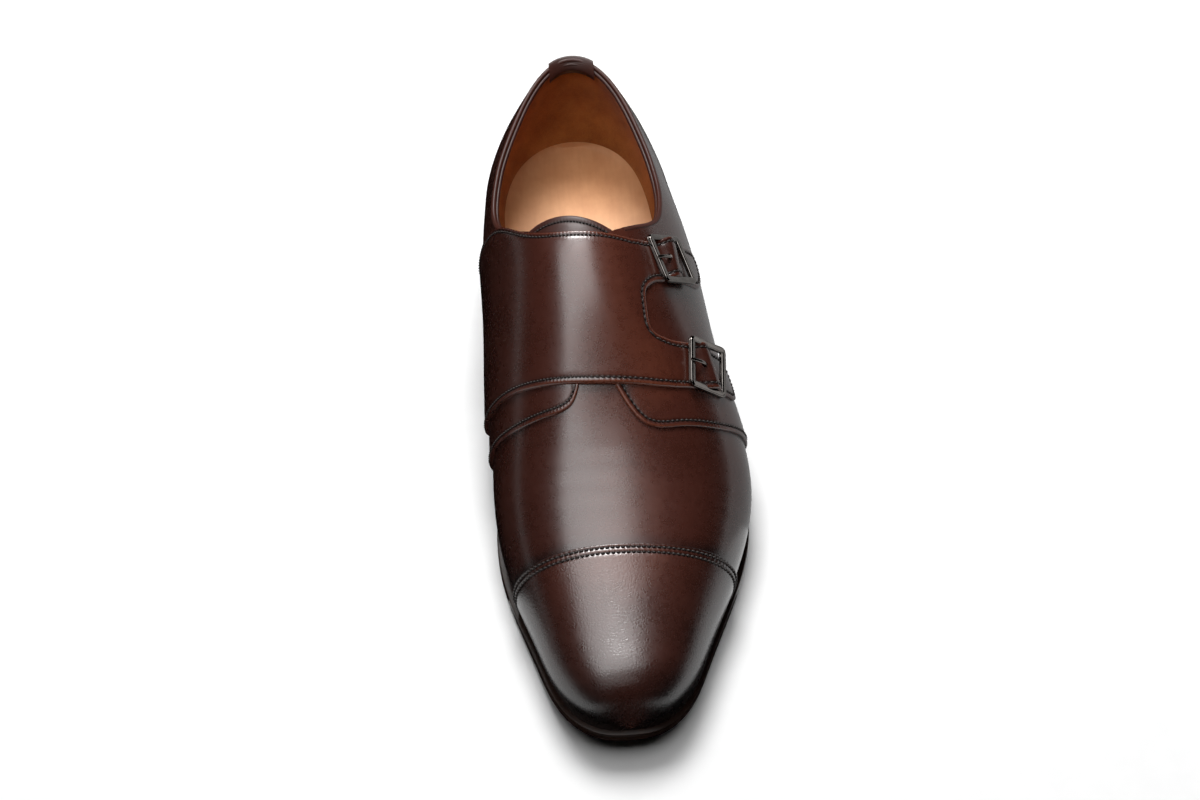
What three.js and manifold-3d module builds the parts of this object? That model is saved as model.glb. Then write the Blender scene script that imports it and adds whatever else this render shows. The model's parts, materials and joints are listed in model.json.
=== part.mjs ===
// Double monk strap shoe, the wearer's left one, size EU 42. Millimetres, +Z up.
// The toe points to -Y, the heel to +Y and the buckles are on +X, the outer side of the foot.
import * as THREE from 'three';
import Module from 'manifold-3d';

const wasm = await Module();
wasm.setup();

// ---- driving sizes -------------------------------------------------------------------------
const LAST_LENGTH = 293;      // upper, heel back to toe tip, along the ground
const WALL = 2;               // upper leather with its lining
const GAP = 0.3;              // clearance between neighbouring pieces
const SOLE_THICKNESS = 4.5;
const SOLE_TOE = 3.3;         // sole in front of the upper at the toe
const SOLE_HEEL = 1.5;        // sole behind the upper at the heel
const INSOLE_THICKNESS = 3.5;
const INSOLE_INSET = 0.4;     // between the insole's edge and the wall
const SEAT_HEIGHT = 22;       // underside of the sole over the heel
const SEAT_END = 40;          // station where the flat seat ends
const TREAD_BACK = 180;       // the sole lies on the ground between these two stations
const TREAD_FRONT = 206;
const ARCH_POWER = 0.9;       // how early the arch rises behind the tread
const TOE_SPRING = 8.7;       // lift of the sole's underside at the toe
const TOE_SPRING_POWER = 1.6;
const LIFT_THICKNESS = 6;     // rubber top lift under the heel
const HEEL_BREAST = 74;       // front face of the heel, at its top
const HEEL_PITCH = 3;         // how far the heel's back and breast lean towards its middle
const HEEL_TAPER = 1.2;       // how much narrower each side of the heel is at the ground
const HEEL_TAPER_FADE = 10;   // half-width under which the taper fades out at the heel's back
const OVERLAY = 1.2;          // quarters
const CAP_THICKNESS = 1;
const FLAP_THICKNESS = 1.8;
const TONGUE_THICKNESS = 1.6;
const TAB_THICKNESS = 1;
const OVER_QUARTERS = 2 * GAP + OVERLAY;   // lowest form of what lies over the quarters

// ---- the last ------------------------------------------------------------------------------
// s: station from the heel; ridge: height of the top line over the ground; widest: height of the
// widest line over the sole; shift: sideways place of the ridge, positive to the outer side
const LAST_HEIGHTS = [
  { s: 0, ridge: 105, widest: 20, shift: 0 },
  { s: 35, ridge: 105.4, widest: 20, shift: 0 },
  { s: 74, ridge: 103.5, widest: 21, shift: -2 },
  { s: 104, ridge: 99.5, widest: 21, shift: -4 },
  { s: 133, ridge: 91, widest: 20, shift: -5 },
  { s: 162, ridge: 75, widest: 17, shift: -5.5 },
  { s: 190, ridge: 60, widest: 14, shift: -5 },
  { s: 220, ridge: 49.6, widest: 12, shift: -3.5 },
  { s: 245, ridge: 43.6, widest: 10, shift: -2 },
  { s: 267, ridge: 39.2, widest: 9, shift: -0.5 },
  { s: 293, ridge: 35.5, widest: 8, shift: 0 },
];
// lateral, medial: half-widths at the widest line; tuckLat, tuckMed: how far the lower edge tucks in;
// slimLat, slimMed: how much the shoulders fall inside a plain ellipse
const LAST_WIDTHS = [
  { s: 0, lateral: 38, medial: 37.5, tuckLat: 4.5, tuckMed: 4.5, slimLat: 0.42, slimMed: 0.42 },
  { s: 35, lateral: 35, medial: 37.5, tuckLat: 5, tuckMed: 6, slimLat: 0.42, slimMed: 0.3 },
  { s: 74, lateral: 41.5, medial: 42, tuckLat: 9.5, tuckMed: 12.5, slimLat: 0.32, slimMed: -0.05 },
  { s: 104, lateral: 46.5, medial: 42.5, tuckLat: 12, tuckMed: 16.5, slimLat: 0.24, slimMed: 0.02 },
  { s: 133, lateral: 50.5, medial: 44, tuckLat: 10.5, tuckMed: 14, slimLat: 0.18, slimMed: 0.08 },
  { s: 162, lateral: 57.5, medial: 45.5, tuckLat: 7, tuckMed: 7.5, slimLat: 0.1, slimMed: 0.06 },
  { s: 190, lateral: 59.5, medial: 46.5, tuckLat: 3.5, tuckMed: 3.5, slimLat: 0.02, slimMed: 0 },
  { s: 220, lateral: 51.8, medial: 43, tuckLat: 2, tuckMed: 2.5, slimLat: -0.03, slimMed: -0.05 },
  { s: 245, lateral: 41, medial: 36.2, tuckLat: 1.5, tuckMed: 2, slimLat: -0.05, slimMed: -0.06 },
  { s: 267, lateral: 31.6, medial: 30.2, tuckLat: 1, tuckMed: 2, slimLat: -0.06, slimMed: -0.06 },
  { s: 293, lateral: 22.5, medial: 23, tuckLat: 0.5, tuckMed: 0.5, slimLat: -0.06, slimMed: -0.06 },
];
// forward lean of the heel back at heights over the seat
const HEEL_BACK = [
  { height: 0, lean: 5 },
  { height: 20, lean: 0.2 },
  { height: 40, lean: 0.8 },
  { height: 57, lean: 3.2 },
  { height: 80, lean: 8 },
];
const HEEL_BACK_REACH = 70;
const LOWER_WALL = 0.2;       // share of the girth below the widest line
const WIDEST_LIMIT = 0.45;    // the widest line lies no higher than this share of the top line's height
const TOE_PLAN = { length: 34.5, power: 3.1, root: 2.65 };
const TOE_PROFILE = { length: 20, power: 2.6, root: 2.2 };
const HEEL_PLAN = { length: 43, rise: 0.3, power: 2, root: 2 };

// half-widths of the sole
const SOLE = [
  { s: 0, lateral: 33, medial: 33 },
  { s: 35, lateral: 33.5, medial: 34.5 },
  { s: 74, lateral: 35.5, medial: 33 },
  { s: 104, lateral: 38, medial: 30.5 },
  { s: 133, lateral: 44, medial: 33.5 },
  { s: 162, lateral: 53, medial: 41 },
  { s: 190, lateral: 58.5, medial: 46 },
  { s: 220, lateral: 52.8, medial: 44.2 },
  { s: 245, lateral: 42.6, medial: 37.8 },
  { s: 267, lateral: 33.2, medial: 31.8 },
  { s: 293, lateral: 24.3, medial: 24.8 },
];
const SOLE_HEEL_PLAN = { length: 34, power: 2, root: 2 };

// share of the girth that the wall reaches: the collar, then the throat slot under the flap
const COLLAR = [
  { s: 0, lateral: 0.545, medial: 0.545 },
  { s: 20, lateral: 0.5, medial: 0.5 },
  { s: 45, lateral: 0.475, medial: 0.465 },
  { s: 70, lateral: 0.485, medial: 0.45 },
  { s: 86, lateral: 0.535, medial: 0.49 },
  { s: 100, lateral: 0.65, medial: 0.66 },
  { s: 112, lateral: 0.86, medial: 0.86 },
  { s: 130, lateral: 0.9, medial: 0.9 },
  { s: 150, lateral: 1, medial: 1 },
];
const THROAT_END = 150;
// front edges of the quarters: station at each share of the girth
const QUARTER_FRONT = {
  lateral: [
    { v: 0, s: 165 },
    { v: 0.34, s: 171.6 },
    { v: 0.53, s: 177 },
    { v: 0.71, s: 181 },
    { v: 0.8, s: 182.4 },
    { v: 0.85, s: 179.6 },
    { v: 0.885, s: 174 },
    { v: 0.912, s: 168 },
  ],
  medial: [
    { v: 0, s: 166 },
    { v: 0.34, s: 170.4 },
    { v: 0.59, s: 174.4 },
    { v: 0.76, s: 175.6 },
    { v: 0.87, s: 175 },
    { v: 0.925, s: 171 },
    { v: 0.942, s: 168 },
  ],
};
const QUARTER_THROAT = [
  { s: 100, lateral: 0.64, medial: 0.64 },
  { s: 112, lateral: 0.84, medial: 0.84 },
  { s: 140, lateral: 0.88, medial: 0.9 },
  { s: 168, lateral: 0.912, medial: 0.942 },
];
// edges of the flap, from the medial lower edge (q -1) over the ridge (0) to where the straps start
const FLAP = [
  { q: -1, back: 80, front: 150 },
  { q: -0.6, back: 86, front: 157.5 },
  { q: -0.45, back: 92, front: 160.5 },
  { q: -0.31, back: 103, front: 163.5 },
  { q: -0.15, back: 110, front: 166.3 },
  { q: 0, back: 112, front: 167.8 },
  { q: 0.27, back: 112, front: 167.5 },
];
const STRAP_START = 0.27;
const STRAP_WIDTH = 17;
const STRAP_THICKNESS = 1.5;
const STRAP_LIFT = 0.35;       // a strap lies a little higher than the flap's underside
const STRAP_ROOT = 0.03;       // overlap of a strap with the flap that it is part of
const STRAPS = [
  { name: 'upper', slant: -45, q: 0.43, tip: 0.66 },
  { name: 'lower', slant: -25, q: 0.47, tip: 0.69 },
];
const GIRTH_PER_Q = 112;      // millimetres round the outer side for one unit of q

// tongue edges along q, and its stations
const TONGUE = { from: -0.36, to: 0.27, back: 100, slope: 18, front: 174 };

// buckles: a frame with a bar across its middle, above the strap's ends and under its hump
const FRAME_STEPS = 4;        // divisions of each inner side of a frame
const FRAME = { width: 22.6, length: 22.5, bar: 2.3, low: 3.95, high: 5.75 };
const MIDDLE_BAR = { width: 2.2, low: 2.9, high: 4.1, inset: 0.2 };
const HUMP = { height: 2.8, bend: 5, reach: 8 };
const HOLE = { width: 2, length: 2.8 };
// the prong's root goes down through the strap's hole and its blade lies on the frame
const PRONG = { width: 1.4, root: 4.4, low: 6.15, high: 7.4, step: 0.4, end: 0.3 };
const PRONG_BENDS = [-12.4, -9, -6];
const BUCKLE_TAB = { width: 12, reach: 4, low: 1.8, high: 2.6 };

const CAP_SEAM = 228;         // station of the toe cap's edge
const HEEL_SHARE = 0.3;       // share of a quarter's length with stations that crowd to the heel
const BACK_SEAM = 0.0005;     // the quarters stop just short of each other at the heel's back
const THROAT_START = 104;
const BACK_TAB = { station: 1.8, top: 0.54, bottom: 0.33 };

const COLOURS = {
  leather: { color: 0x3b1c14, roughness: 0.35, metalness: 0 },
  cap: { color: 0x2c130f, roughness: 0.3, metalness: 0 },
  sole: { color: 0x1d0f0b, roughness: 0.4, metalness: 0 },
  rubber: { color: 0x15100e, roughness: 0.8, metalness: 0 },
  insole: { color: 0xc58c58, roughness: 0.7, metalness: 0 },
  metal: { color: 0x3a3432, roughness: 0.25, metalness: 0.9 },
};

// ---- functions of the last -----------------------------------------------------------------
// natural cubic spline through one column of a table, held at its ends
function spline(table, column, key = 's') {
  const xs = table.map((row) => row[key]);
  const ys = table.map((row) => row[column]);
  const last = xs.length - 1;
  const step = xs.slice(1).map((x, i) => x - xs[i]);
  const bend = new Array(last + 1).fill(0);
  const ratio = new Array(last + 1).fill(0);
  for (let i = 1; i < last; i += 1) {
    const pivot = 2 * (step[i - 1] + step[i]) - step[i - 1] * ratio[i - 1];
    const slope = (ys[i + 1] - ys[i]) / step[i] - (ys[i] - ys[i - 1]) / step[i - 1];
    ratio[i] = step[i] / pivot;
    bend[i] = (6 * slope - step[i - 1] * bend[i - 1]) / pivot;
  }
  for (let i = last - 1; i > 0; i -= 1) {
    bend[i] -= ratio[i] * bend[i + 1];
  }
  return (value) => {
    const x = THREE.MathUtils.clamp(value, xs[0], xs[last]);
    let i = 0;
    while (i < last - 1 && x > xs[i + 1]) i += 1;
    const h = step[i];
    const t = x - xs[i];
    const u = xs[i + 1] - x;
    const cubic = (bend[i] * u ** 3 + bend[i + 1] * t ** 3) / (6 * h);
    return cubic + (ys[i] / h - bend[i] * h / 6) * u + (ys[i + 1] / h - bend[i + 1] * h / 6) * t;
  };
}

function splines(table, columns) {
  return Object.fromEntries(columns.map((column) => [column, spline(table, column)]));
}

const last = {
  ...splines(LAST_HEIGHTS, ['ridge', 'widest', 'shift']),
  ...splines(LAST_WIDTHS, ['lateral', 'medial', 'tuckLat', 'tuckMed', 'slimLat', 'slimMed']),
};
const soleEdge = splines(SOLE, ['lateral', 'medial']);
const collar = splines(COLLAR, ['lateral', 'medial']);
const quarterThroat = splines(QUARTER_THROAT, ['lateral', 'medial']);
const quarterFront = {
  lateral: spline(QUARTER_FRONT.lateral, 's', 'v'),
  medial: spline(QUARTER_FRONT.medial, 's', 'v'),
};
const flapBack = spline(FLAP, 'back', 'q');
const flapFront = spline(FLAP, 'front', 'q');
const heelBack = spline(HEEL_BACK, 'lean', 'height');

const sideName = (side) => (side > 0 ? 'lateral' : 'medial');
const smooth = (t) => t * t * (3 - 2 * t);

// 0 at an end of the shoe, rising to 1 over the plan's length: it rounds the end off
function closing(distance, { length, power, root }) {
  const t = THREE.MathUtils.clamp(distance / length, 0, 1);
  return (1 - (1 - t) ** power) ** (1 / root);
}

function soleUnderside(s) {
  const arch = THREE.MathUtils.clamp((TREAD_BACK - s) / (TREAD_BACK - SEAT_END), 0, 1);
  const toe = Math.max(0, (s - TREAD_FRONT) / (LAST_LENGTH - TREAD_FRONT));
  return SEAT_HEIGHT * smooth(arch) ** ARCH_POWER + TOE_SPRING * toe ** TOE_SPRING_POWER;
}

function lowerEdgeHeight(s) {
  return soleUnderside(s) + SOLE_THICKNESS + GAP;
}

// a point of the last: s station, q -1..1 from the medial to the lateral lower edge by the ridge,
// grow how much larger the form is than the last in every direction
function lastPoint(s, q, grow) {
  const side = q < 0 ? -1 : 1;
  const v = 1 - Math.abs(q);
  const station = s + grow * (2 * s / LAST_LENGTH - 1);
  const at = THREE.MathUtils.clamp(station, 0, LAST_LENGTH);
  const toTip = LAST_LENGTH + grow - station;
  const base = lowerEdgeHeight(at);
  const ridge = (last.ridge(at) - base + grow) * closing(toTip, TOE_PROFILE);
  const widest = Math.min(last.widest(at), WIDEST_LIMIT * ridge);
  const width = last[sideName(side)](at) + grow;
  const foot = width - (side > 0 ? last.tuckLat(at) : last.tuckMed(at));
  const slim = side > 0 ? last.slimLat(at) : last.slimMed(at);
  const shift = last.shift(at) * side;
  let height = widest * v / LOWER_WALL;
  let half = foot + (width - foot) * Math.sin(v / LOWER_WALL * Math.PI / 2);
  if (v > LOWER_WALL) {
    const turn = (v - LOWER_WALL) / (1 - LOWER_WALL) * Math.PI / 2;
    height = widest + (ridge - widest) * Math.sin(turn);
    half = shift + (width - shift) * Math.cos(turn) * (1 - slim * Math.sin(turn) ** 2);
  }
  const heel = { ...HEEL_PLAN, length: HEEL_PLAN.length + HEEL_PLAN.rise * height };
  const x = side * half * closing(toTip, TOE_PLAN) * closing(station + grow, heel);
  const lean = heelBack(height) * Math.max(0, 1 - station / HEEL_BACK_REACH) ** 2;
  return new THREE.Vector3(x, -(station + lean), base + height);
}

// ---- meshes --------------------------------------------------------------------------------
const MERGE_STEPS = 1000;     // corners within one of these steps to the millimetre are one vertex

// Collects corners and quads of a surface.
class Facets {
  constructor() {
    this.index = new Map();
    this.points = [];
    this.triangles = [];
  }

  vertex(point) {
    const key = point.toArray().map((value) => Math.round(value * MERGE_STEPS)).join(' ');
    if (!this.index.has(key)) {
      this.index.set(key, this.points.length);
      this.points.push(point);
    }
    return this.index.get(key);
  }

  quad(a, b, c, d) {
    for (const triangle of [[a, b, c], [a, c, d]]) {
      if (new Set(triangle).size === 3) this.triangles.push(triangle);
    }
  }

  geometry() {
    const volume = this.triangles.reduce((sum, triangle) => {
      const [a, b, c] = triangle.map((i) => this.points[i]);
      return sum + a.dot(b.clone().cross(c));
    }, 0);
    const faces = volume > 0 ? this.triangles : this.triangles.map(([a, b, c]) => [a, c, b]);
    const geometry = new THREE.BufferGeometry();
    const positions = this.points.flatMap((point) => point.toArray());
    geometry.setAttribute('position', new THREE.Float32BufferAttribute(positions, 3));
    geometry.setIndex(faces.flat());
    geometry.computeVertexNormals();
    return geometry;
  }
}

// A sheet between two forms of the last. Each grid is rows of [s, q], running from low to high q;
// low and high give the two forms' growth at a corner, and skip leaves cells out as holes.
function sheet(grids, low, high, skip = () => false) {
  const outer = new Facets();
  const corners = [];
  const addCorner = ([s, q]) => {
    const i = outer.vertex(lastPoint(s, q, high(s, q)));
    corners[i] ??= lastPoint(s, q, low(s, q));
    return i;
  };
  for (const grid of grids) {
    const ids = grid.map((row) => row.map(addCorner));
    for (let i = 0; i + 1 < ids.length; i += 1) {
      for (let j = 0; j + 1 < ids[i].length; j += 1) {
        if (!skip(i, j, grid)) outer.quad(ids[i][j], ids[i + 1][j], ids[i + 1][j + 1], ids[i][j + 1]);
      }
    }
  }
  return thicken(outer, corners);
}

// Closes an open surface with a second one under it and walls round every free edge.
function thicken(outer, corners) {
  const body = new Facets();
  const top = outer.points.map((point) => body.vertex(point));
  const under = corners.map((point) => body.vertex(point));
  const edges = new Map();
  for (const [a, b, c] of outer.triangles) {
    body.triangles.push([top[a], top[b], top[c]]);
    if (new Set([under[a], under[b], under[c]]).size === 3) {
      body.triangles.push([under[a], under[c], under[b]]);
    }
    for (const [from, to] of [[a, b], [b, c], [c, a]]) {
      if (!edges.delete(`${to} ${from}`)) edges.set(`${from} ${to}`, [from, to]);
    }
  }
  for (const [from, to] of edges.values()) {
    body.quad(top[to], top[from], under[from], under[to]);
  }
  return body.geometry();
}

// A plate: corner(k, side, level) gives its rim at share k of its length, level 0 below and 1 above.
function plate(shares, corner) {
  const facets = new Facets();
  const ring = shares.map((k) => [[1, 0], [1, 1], [-1, 1], [-1, 0]].map(
    ([side, level]) => facets.vertex(corner(k, side, level)),
  ));
  for (let i = 0; i + 1 < ring.length; i += 1) {
    for (let j = 0; j < 4; j += 1) {
      const next = (j + 1) % 4;
      facets.quad(ring[i][j], ring[i][next], ring[i + 1][next], ring[i + 1][j]);
    }
  }
  const back = ring[0];
  const front = ring[ring.length - 1];
  facets.quad(back[3], back[2], back[1], back[0]);
  facets.quad(front[0], front[1], front[2], front[3]);
  return facets.geometry();
}

function steps(count, from = 0, to = 1) {
  return Array.from({ length: count + 1 }, (_, i) => from + (to - from) * i / count);
}

// stations that crowd towards a rounded end
const easeOut = (count, from, to) => steps(count).map((t) => from + (to - from) * (1 - (1 - t) ** 2));
const easeIn = (count, from, to) => steps(count).map((t) => from + (to - from) * t ** 2);
const joined = (...lists) => lists.reduce((all, list) => [...all, ...list.slice(1)]);

const flat = (value) => () => value;

function manifold(geometry) {
  const vertProperties = new Float32Array(geometry.getAttribute('position').array);
  const triVerts = new Uint32Array(geometry.getIndex().array);
  return new wasm.Manifold(new wasm.Mesh({ numProp: 3, vertProperties, triVerts }));
}

// joins or cuts geometries: operation is a Manifold method, add or intersect
function combined(operation, geometries) {
  const solid = geometries.map(manifold).reduce((sum, piece) => sum[operation](piece));
  const mesh = solid.getMesh();
  const geometry = new THREE.BufferGeometry();
  geometry.setAttribute('position', new THREE.Float32BufferAttribute(mesh.vertProperties, 3));
  geometry.setIndex(Array.from(mesh.triVerts));
  geometry.computeVertexNormals();
  return geometry;
}

// ---- upper and what is cut from its forms ------------------------------------------------------
const GIRTH_STEPS = 13;
const UNDER = -0.05;          // a cutter reaches a little below the lower edge
const CUTTER_REACH = 2;       // and this far past both faces of what it cuts
const HEEL_ZONE = 60;         // stations crowd towards the heel behind this one
const TOE_ZONE = 220;         // and towards the toe in front of this one
const INSOLE_TOE_ZONE = 230;
const STATIONS = joined(
  easeIn(7, 0, HEEL_ZONE),
  steps(13, HEEL_ZONE, TOE_ZONE),
  easeOut(12, TOE_ZONE, LAST_LENGTH),
);

// half of the girth on one side, listed from low to high q
function girthRow(s, side, from, to) {
  const row = steps(GIRTH_STEPS, from, to).map((v) => [s, side * (1 - v)]);
  return side > 0 ? row.reverse() : row;
}

// the whole skin between two forms of the last, open underneath
function skin(low, high) {
  return sheet([-1, 1].map((side) => STATIONS.map((s) => girthRow(s, side, 0, 1))), flat(low), flat(high));
}

// a panel is the part of that skin within some grids of [s, q]
function panel(grids, low, high) {
  const cutter = sheet(grids, flat(low - CUTTER_REACH), flat(high + CUTTER_REACH));
  return combined('intersect', [skin(low, high), cutter]);
}

function upperGeometry() {
  const stations = joined(
    easeIn(8, 0, HEEL_ZONE),
    steps(16, HEEL_ZONE, THROAT_END),
    steps(5, THROAT_END, TOE_ZONE),
    easeOut(12, TOE_ZONE, LAST_LENGTH),
  );
  const reach = (s, side) => (s >= THROAT_END ? 1 : collar[sideName(side)](s));
  const grids = [-1, 1].map((side) => stations.map((s) => girthRow(s, side, UNDER, reach(s, side))));
  return panel(grids, -WALL, 0);
}

function toeCapGeometry() {
  const stations = easeOut(12, CAP_SEAM, LAST_LENGTH);
  const grids = [-1, 1].map((side) => stations.map((s) => girthRow(s, side, UNDER, 1)));
  return panel(grids, GAP, GAP + CAP_THICKNESS);
}

function quarterGeometry(side) {
  const name = sideName(side);
  const front = quarterFront[name];
  const topOfFront = QUARTER_FRONT[name].at(-1).v;
  const reach = (s) => (s > THROAT_START ? quarterThroat[name](s) : collar[name](s));
  const lengths = joined(easeIn(5, 0, HEEL_SHARE), steps(12, HEEL_SHARE, 1));
  const grid = lengths.map((k) => {
    const row = steps(14).map((t) => {
      const s = Math.max(BACK_SEAM, k * front(t * topOfFront));
      return [s, side * (1 - UNDER - t * (reach(s) - UNDER))];
    });
    return side > 0 ? row.reverse() : row;
  });
  return panel([grid], GAP, GAP + OVERLAY);
}

function backTabGeometry() {
  const stations = easeIn(3, 0, BACK_TAB.station);
  const grids = [-1, 1].map((side) => stations.map((s) => {
    const row = steps(4, BACK_TAB.bottom, BACK_TAB.top).map((v) => [s, side * (1 - v)]);
    return side > 0 ? row.reverse() : row;
  }));
  return panel(grids, OVER_QUARTERS, OVER_QUARTERS + TAB_THICKNESS);
}

function tongueGeometry() {
  const rows = steps(10).map((t) => steps(12, TONGUE.from, TONGUE.to).map((q) => {
    const back = TONGUE.back + TONGUE.slope * q;
    return [back + (TONGUE.front - back) * t, q];
  }));
  const high = -WALL - GAP;
  return panel([rows], high - TONGUE_THICKNESS, high);
}

// ---- flap, straps and buckles --------------------------------------------------------------
// share of the flap's length at which each strap's sides and hole edges lie
const FLAP_END = flapFront(STRAP_START) - flapBack(STRAP_START);
const strapShare = STRAP_WIDTH / FLAP_END;
const holeShare = HOLE.width / FLAP_END;

function strapShares(start) {
  const middle = start + strapShare / 2;
  const hole = holeShare / 2;
  const end = start + strapShare;
  const before = middle - hole;
  const after = middle + hole;
  return [start, (start + before) / 2, before, after, (after + end) / 2, end];
}

STRAPS[0].shares = strapShares(0);
STRAPS[1].shares = strapShares(1 - strapShare);

for (const strap of STRAPS) {
  strap.perQ = Math.hypot(GIRTH_PER_Q, strap.slant);
  strap.middle = (strap.shares[2] + strap.shares[3]) / 2;
  // station of a share of the flap's length along the strap
  strap.station = (share, q) => flapBack(STRAP_START) + share * FLAP_END + strap.slant * (q - STRAP_START);
  // q at a distance along the strap from the buckle's middle bar
  strap.along = (distance) => strap.q + distance / strap.perQ;
  // how far the strap rises over the middle bar
  strap.hump = (q) => {
    const t = Math.min(1, Math.abs(q - strap.q) * strap.perQ / HUMP.reach);
    return HUMP.height * Math.cos(t * Math.PI / 2) ** 2;
  };
}

// the cell of a strap's grid that is its hole
const HOLE_CELL = { across: 2, along: 4 };

function flapGeometry() {
  const shares = joined(STRAPS[0].shares, steps(3, STRAPS[0].shares.at(-1), STRAPS[1].shares[0]),
    STRAPS[1].shares);
  const body = shares.map((share) => steps(18, UNDER - 1, STRAP_START).map(
    (q) => [flapBack(q) + share * (flapFront(q) - flapBack(q)), q],
  ));
  const straps = STRAPS.map((strap) => {
    const rise = [-HUMP.reach, -HUMP.bend, -HOLE.length].map(strap.along);
    const fall = [0, HOLE.length, HUMP.bend, HUMP.reach].map(strap.along);
    const beyond = (strap.along(HUMP.reach) + strap.tip) / 2;
    const qs = [STRAP_START - STRAP_ROOT, STRAP_START, ...rise, ...fall, beyond, strap.tip];
    return strap.shares.map((share) => qs.map((q) => [strap.station(share, q), q]));
  });
  const isHole = (i, j) => i === HOLE_CELL.across && j === HOLE_CELL.along;
  const pieces = straps.map((grid, n) => {
    const low = (s, q) => OVER_QUARTERS + STRAP_LIFT + STRAPS[n].hump(q);
    const high = (s, q) => low(s, q) + STRAP_THICKNESS;
    return sheet([grid], low, high, isHole);
  });
  return combined('add', [panel([body], OVER_QUARTERS, OVER_QUARTERS + FLAP_THICKNESS), ...pieces]);
}

// a rectangle about a buckle's middle: across is along the shoe, along is down the strap
function buckleGrid(strap, across, along) {
  return across.map((offset) => along.map((distance) => {
    const q = strap.along(distance);
    return [strap.station(strap.middle, q) + offset, q];
  }));
}

function frameGeometry(strap) {
  const halfWidth = FRAME.width / 2;
  const halfLength = FRAME.length / 2;
  const breaks = (half) => [-half, ...steps(FRAME_STEPS, FRAME.bar - half, half - FRAME.bar), half];
  const isOpening = (i) => i > 0 && i <= FRAME_STEPS;
  const ring = sheet(
    [buckleGrid(strap, breaks(halfWidth), breaks(halfLength))],
    flat(FRAME.low),
    flat(FRAME.high),
    (i, j) => isOpening(i) && isOpening(j),
  );
  const barReach = halfWidth - MIDDLE_BAR.inset;
  const barHalf = MIDDLE_BAR.width / 2;
  const bar = sheet(
    [buckleGrid(strap, steps(FRAME_STEPS, -barReach, barReach), [-barHalf, barHalf])],
    flat(MIDDLE_BAR.low),
    flat(MIDDLE_BAR.high),
  );
  return combined('add', [ring, bar]);
}

function prongGeometry(strap) {
  const along = [...PRONG_BENDS, -HOLE.length, PRONG.step - HOLE.length, -PRONG.end];
  const rootEnd = strap.along(PRONG.step / 2 - HOLE.length);
  const low = (s, q) => (q > rootEnd ? PRONG.root : PRONG.low);
  const half = PRONG.width / 2;
  return sheet([buckleGrid(strap, [-half, half], along)], low, flat(PRONG.high));
}

function buckleTabGeometry(strap) {
  const half = BUCKLE_TAB.width / 2;
  return sheet(
    [buckleGrid(strap, steps(2, -half, half), steps(2, -BUCKLE_TAB.reach, BUCKLE_TAB.reach))],
    flat(BUCKLE_TAB.low),
    flat(BUCKLE_TAB.high),
  );
}

// ---- sole, heel and insole -----------------------------------------------------------------
function soleHalfWidth(s, side) {
  const toe = closing(LAST_LENGTH + SOLE_TOE - s, TOE_PLAN);
  return side * soleEdge[sideName(side)](s) * toe * closing(s + SOLE_HEEL, SOLE_HEEL_PLAN);
}

function outsoleGeometry() {
  const stations = joined(
    easeIn(9, -SOLE_HEEL, SEAT_END),
    steps(14, SEAT_END, TREAD_BACK),
    steps(3, TREAD_BACK, TREAD_FRONT),
    easeOut(20, TREAD_FRONT, LAST_LENGTH + SOLE_TOE),
  );
  return plate(stations, (s, side, level) => (
    new THREE.Vector3(soleHalfWidth(s, side), -s, soleUnderside(s) + level * SOLE_THICKNESS)
  ));
}

// one corner of the heel's outline at a height: it narrows and both ends lean in towards the ground
function heelCorner(k, side, height) {
  const drop = 1 - height / SEAT_HEIGHT;
  const back = -SOLE_HEEL + HEEL_PITCH * drop;
  const breast = HEEL_BREAST - HEEL_PITCH * drop;
  const s = back + (breast - back) * k;
  const topStation = -SOLE_HEEL + (HEEL_BREAST + SOLE_HEEL) * k;
  const width = Math.abs(soleHalfWidth(topStation, side));
  const taper = HEEL_TAPER * drop * Math.min(1, width / HEEL_TAPER_FADE);
  return { s, x: side * Math.max(0, width - taper) };
}

function heelPlate(bottom, top) {
  const shares = joined(easeIn(9, 0, 0.5), steps(5, 0.5, 1));
  return plate(shares, (k, side, level) => {
    const height = level === 1 ? top(k) : bottom;
    const { s, x } = heelCorner(k, side, height);
    return new THREE.Vector3(x, -s, height);
  });
}

function heelStackGeometry() {
  const top = (k) => soleUnderside(-SOLE_HEEL + (HEEL_BREAST + SOLE_HEEL) * k) - GAP;
  return heelPlate(LIFT_THICKNESS + GAP, top);
}

function topLiftGeometry() {
  return heelPlate(0, () => LIFT_THICKNESS);
}

function insoleGeometry() {
  const inset = -WALL - INSOLE_INSET;
  const stations = joined(
    easeIn(8, 0, SEAT_END),
    steps(12, SEAT_END, INSOLE_TOE_ZONE),
    easeOut(14, INSOLE_TOE_ZONE, LAST_LENGTH),
  );
  return plate(stations, (s, side, level) => {
    const edge = lastPoint(s, side, inset);
    edge.z += level * INSOLE_THICKNESS;
    return edge;
  });
}

// ---- assembly ------------------------------------------------------------------------------
const shoe = new THREE.Group();

function add(name, geometry, look) {
  const mesh = new THREE.Mesh(geometry, new THREE.MeshStandardMaterial(COLOURS[look]));
  mesh.name = name;
  shoe.add(mesh);
}

add('outsole', outsoleGeometry(), 'sole');
add('heel_stack', heelStackGeometry(), 'sole');
add('top_lift', topLiftGeometry(), 'rubber');
add('insole', insoleGeometry(), 'insole');
add('upper', upperGeometry(), 'leather');
add('toe_cap', toeCapGeometry(), 'cap');
add('quarter_lateral', quarterGeometry(1), 'leather');
add('quarter_medial', quarterGeometry(-1), 'leather');
add('back_tab', backTabGeometry(), 'leather');
add('tongue', tongueGeometry(), 'leather');
add('monk_flap', flapGeometry(), 'leather');
for (const strap of STRAPS) {
  add(`buckle_frame_${strap.name}`, frameGeometry(strap), 'metal');
  add(`buckle_prong_${strap.name}`, prongGeometry(strap), 'metal');
  add(`buckle_tab_${strap.name}`, buckleTabGeometry(strap), 'leather');
}

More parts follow.
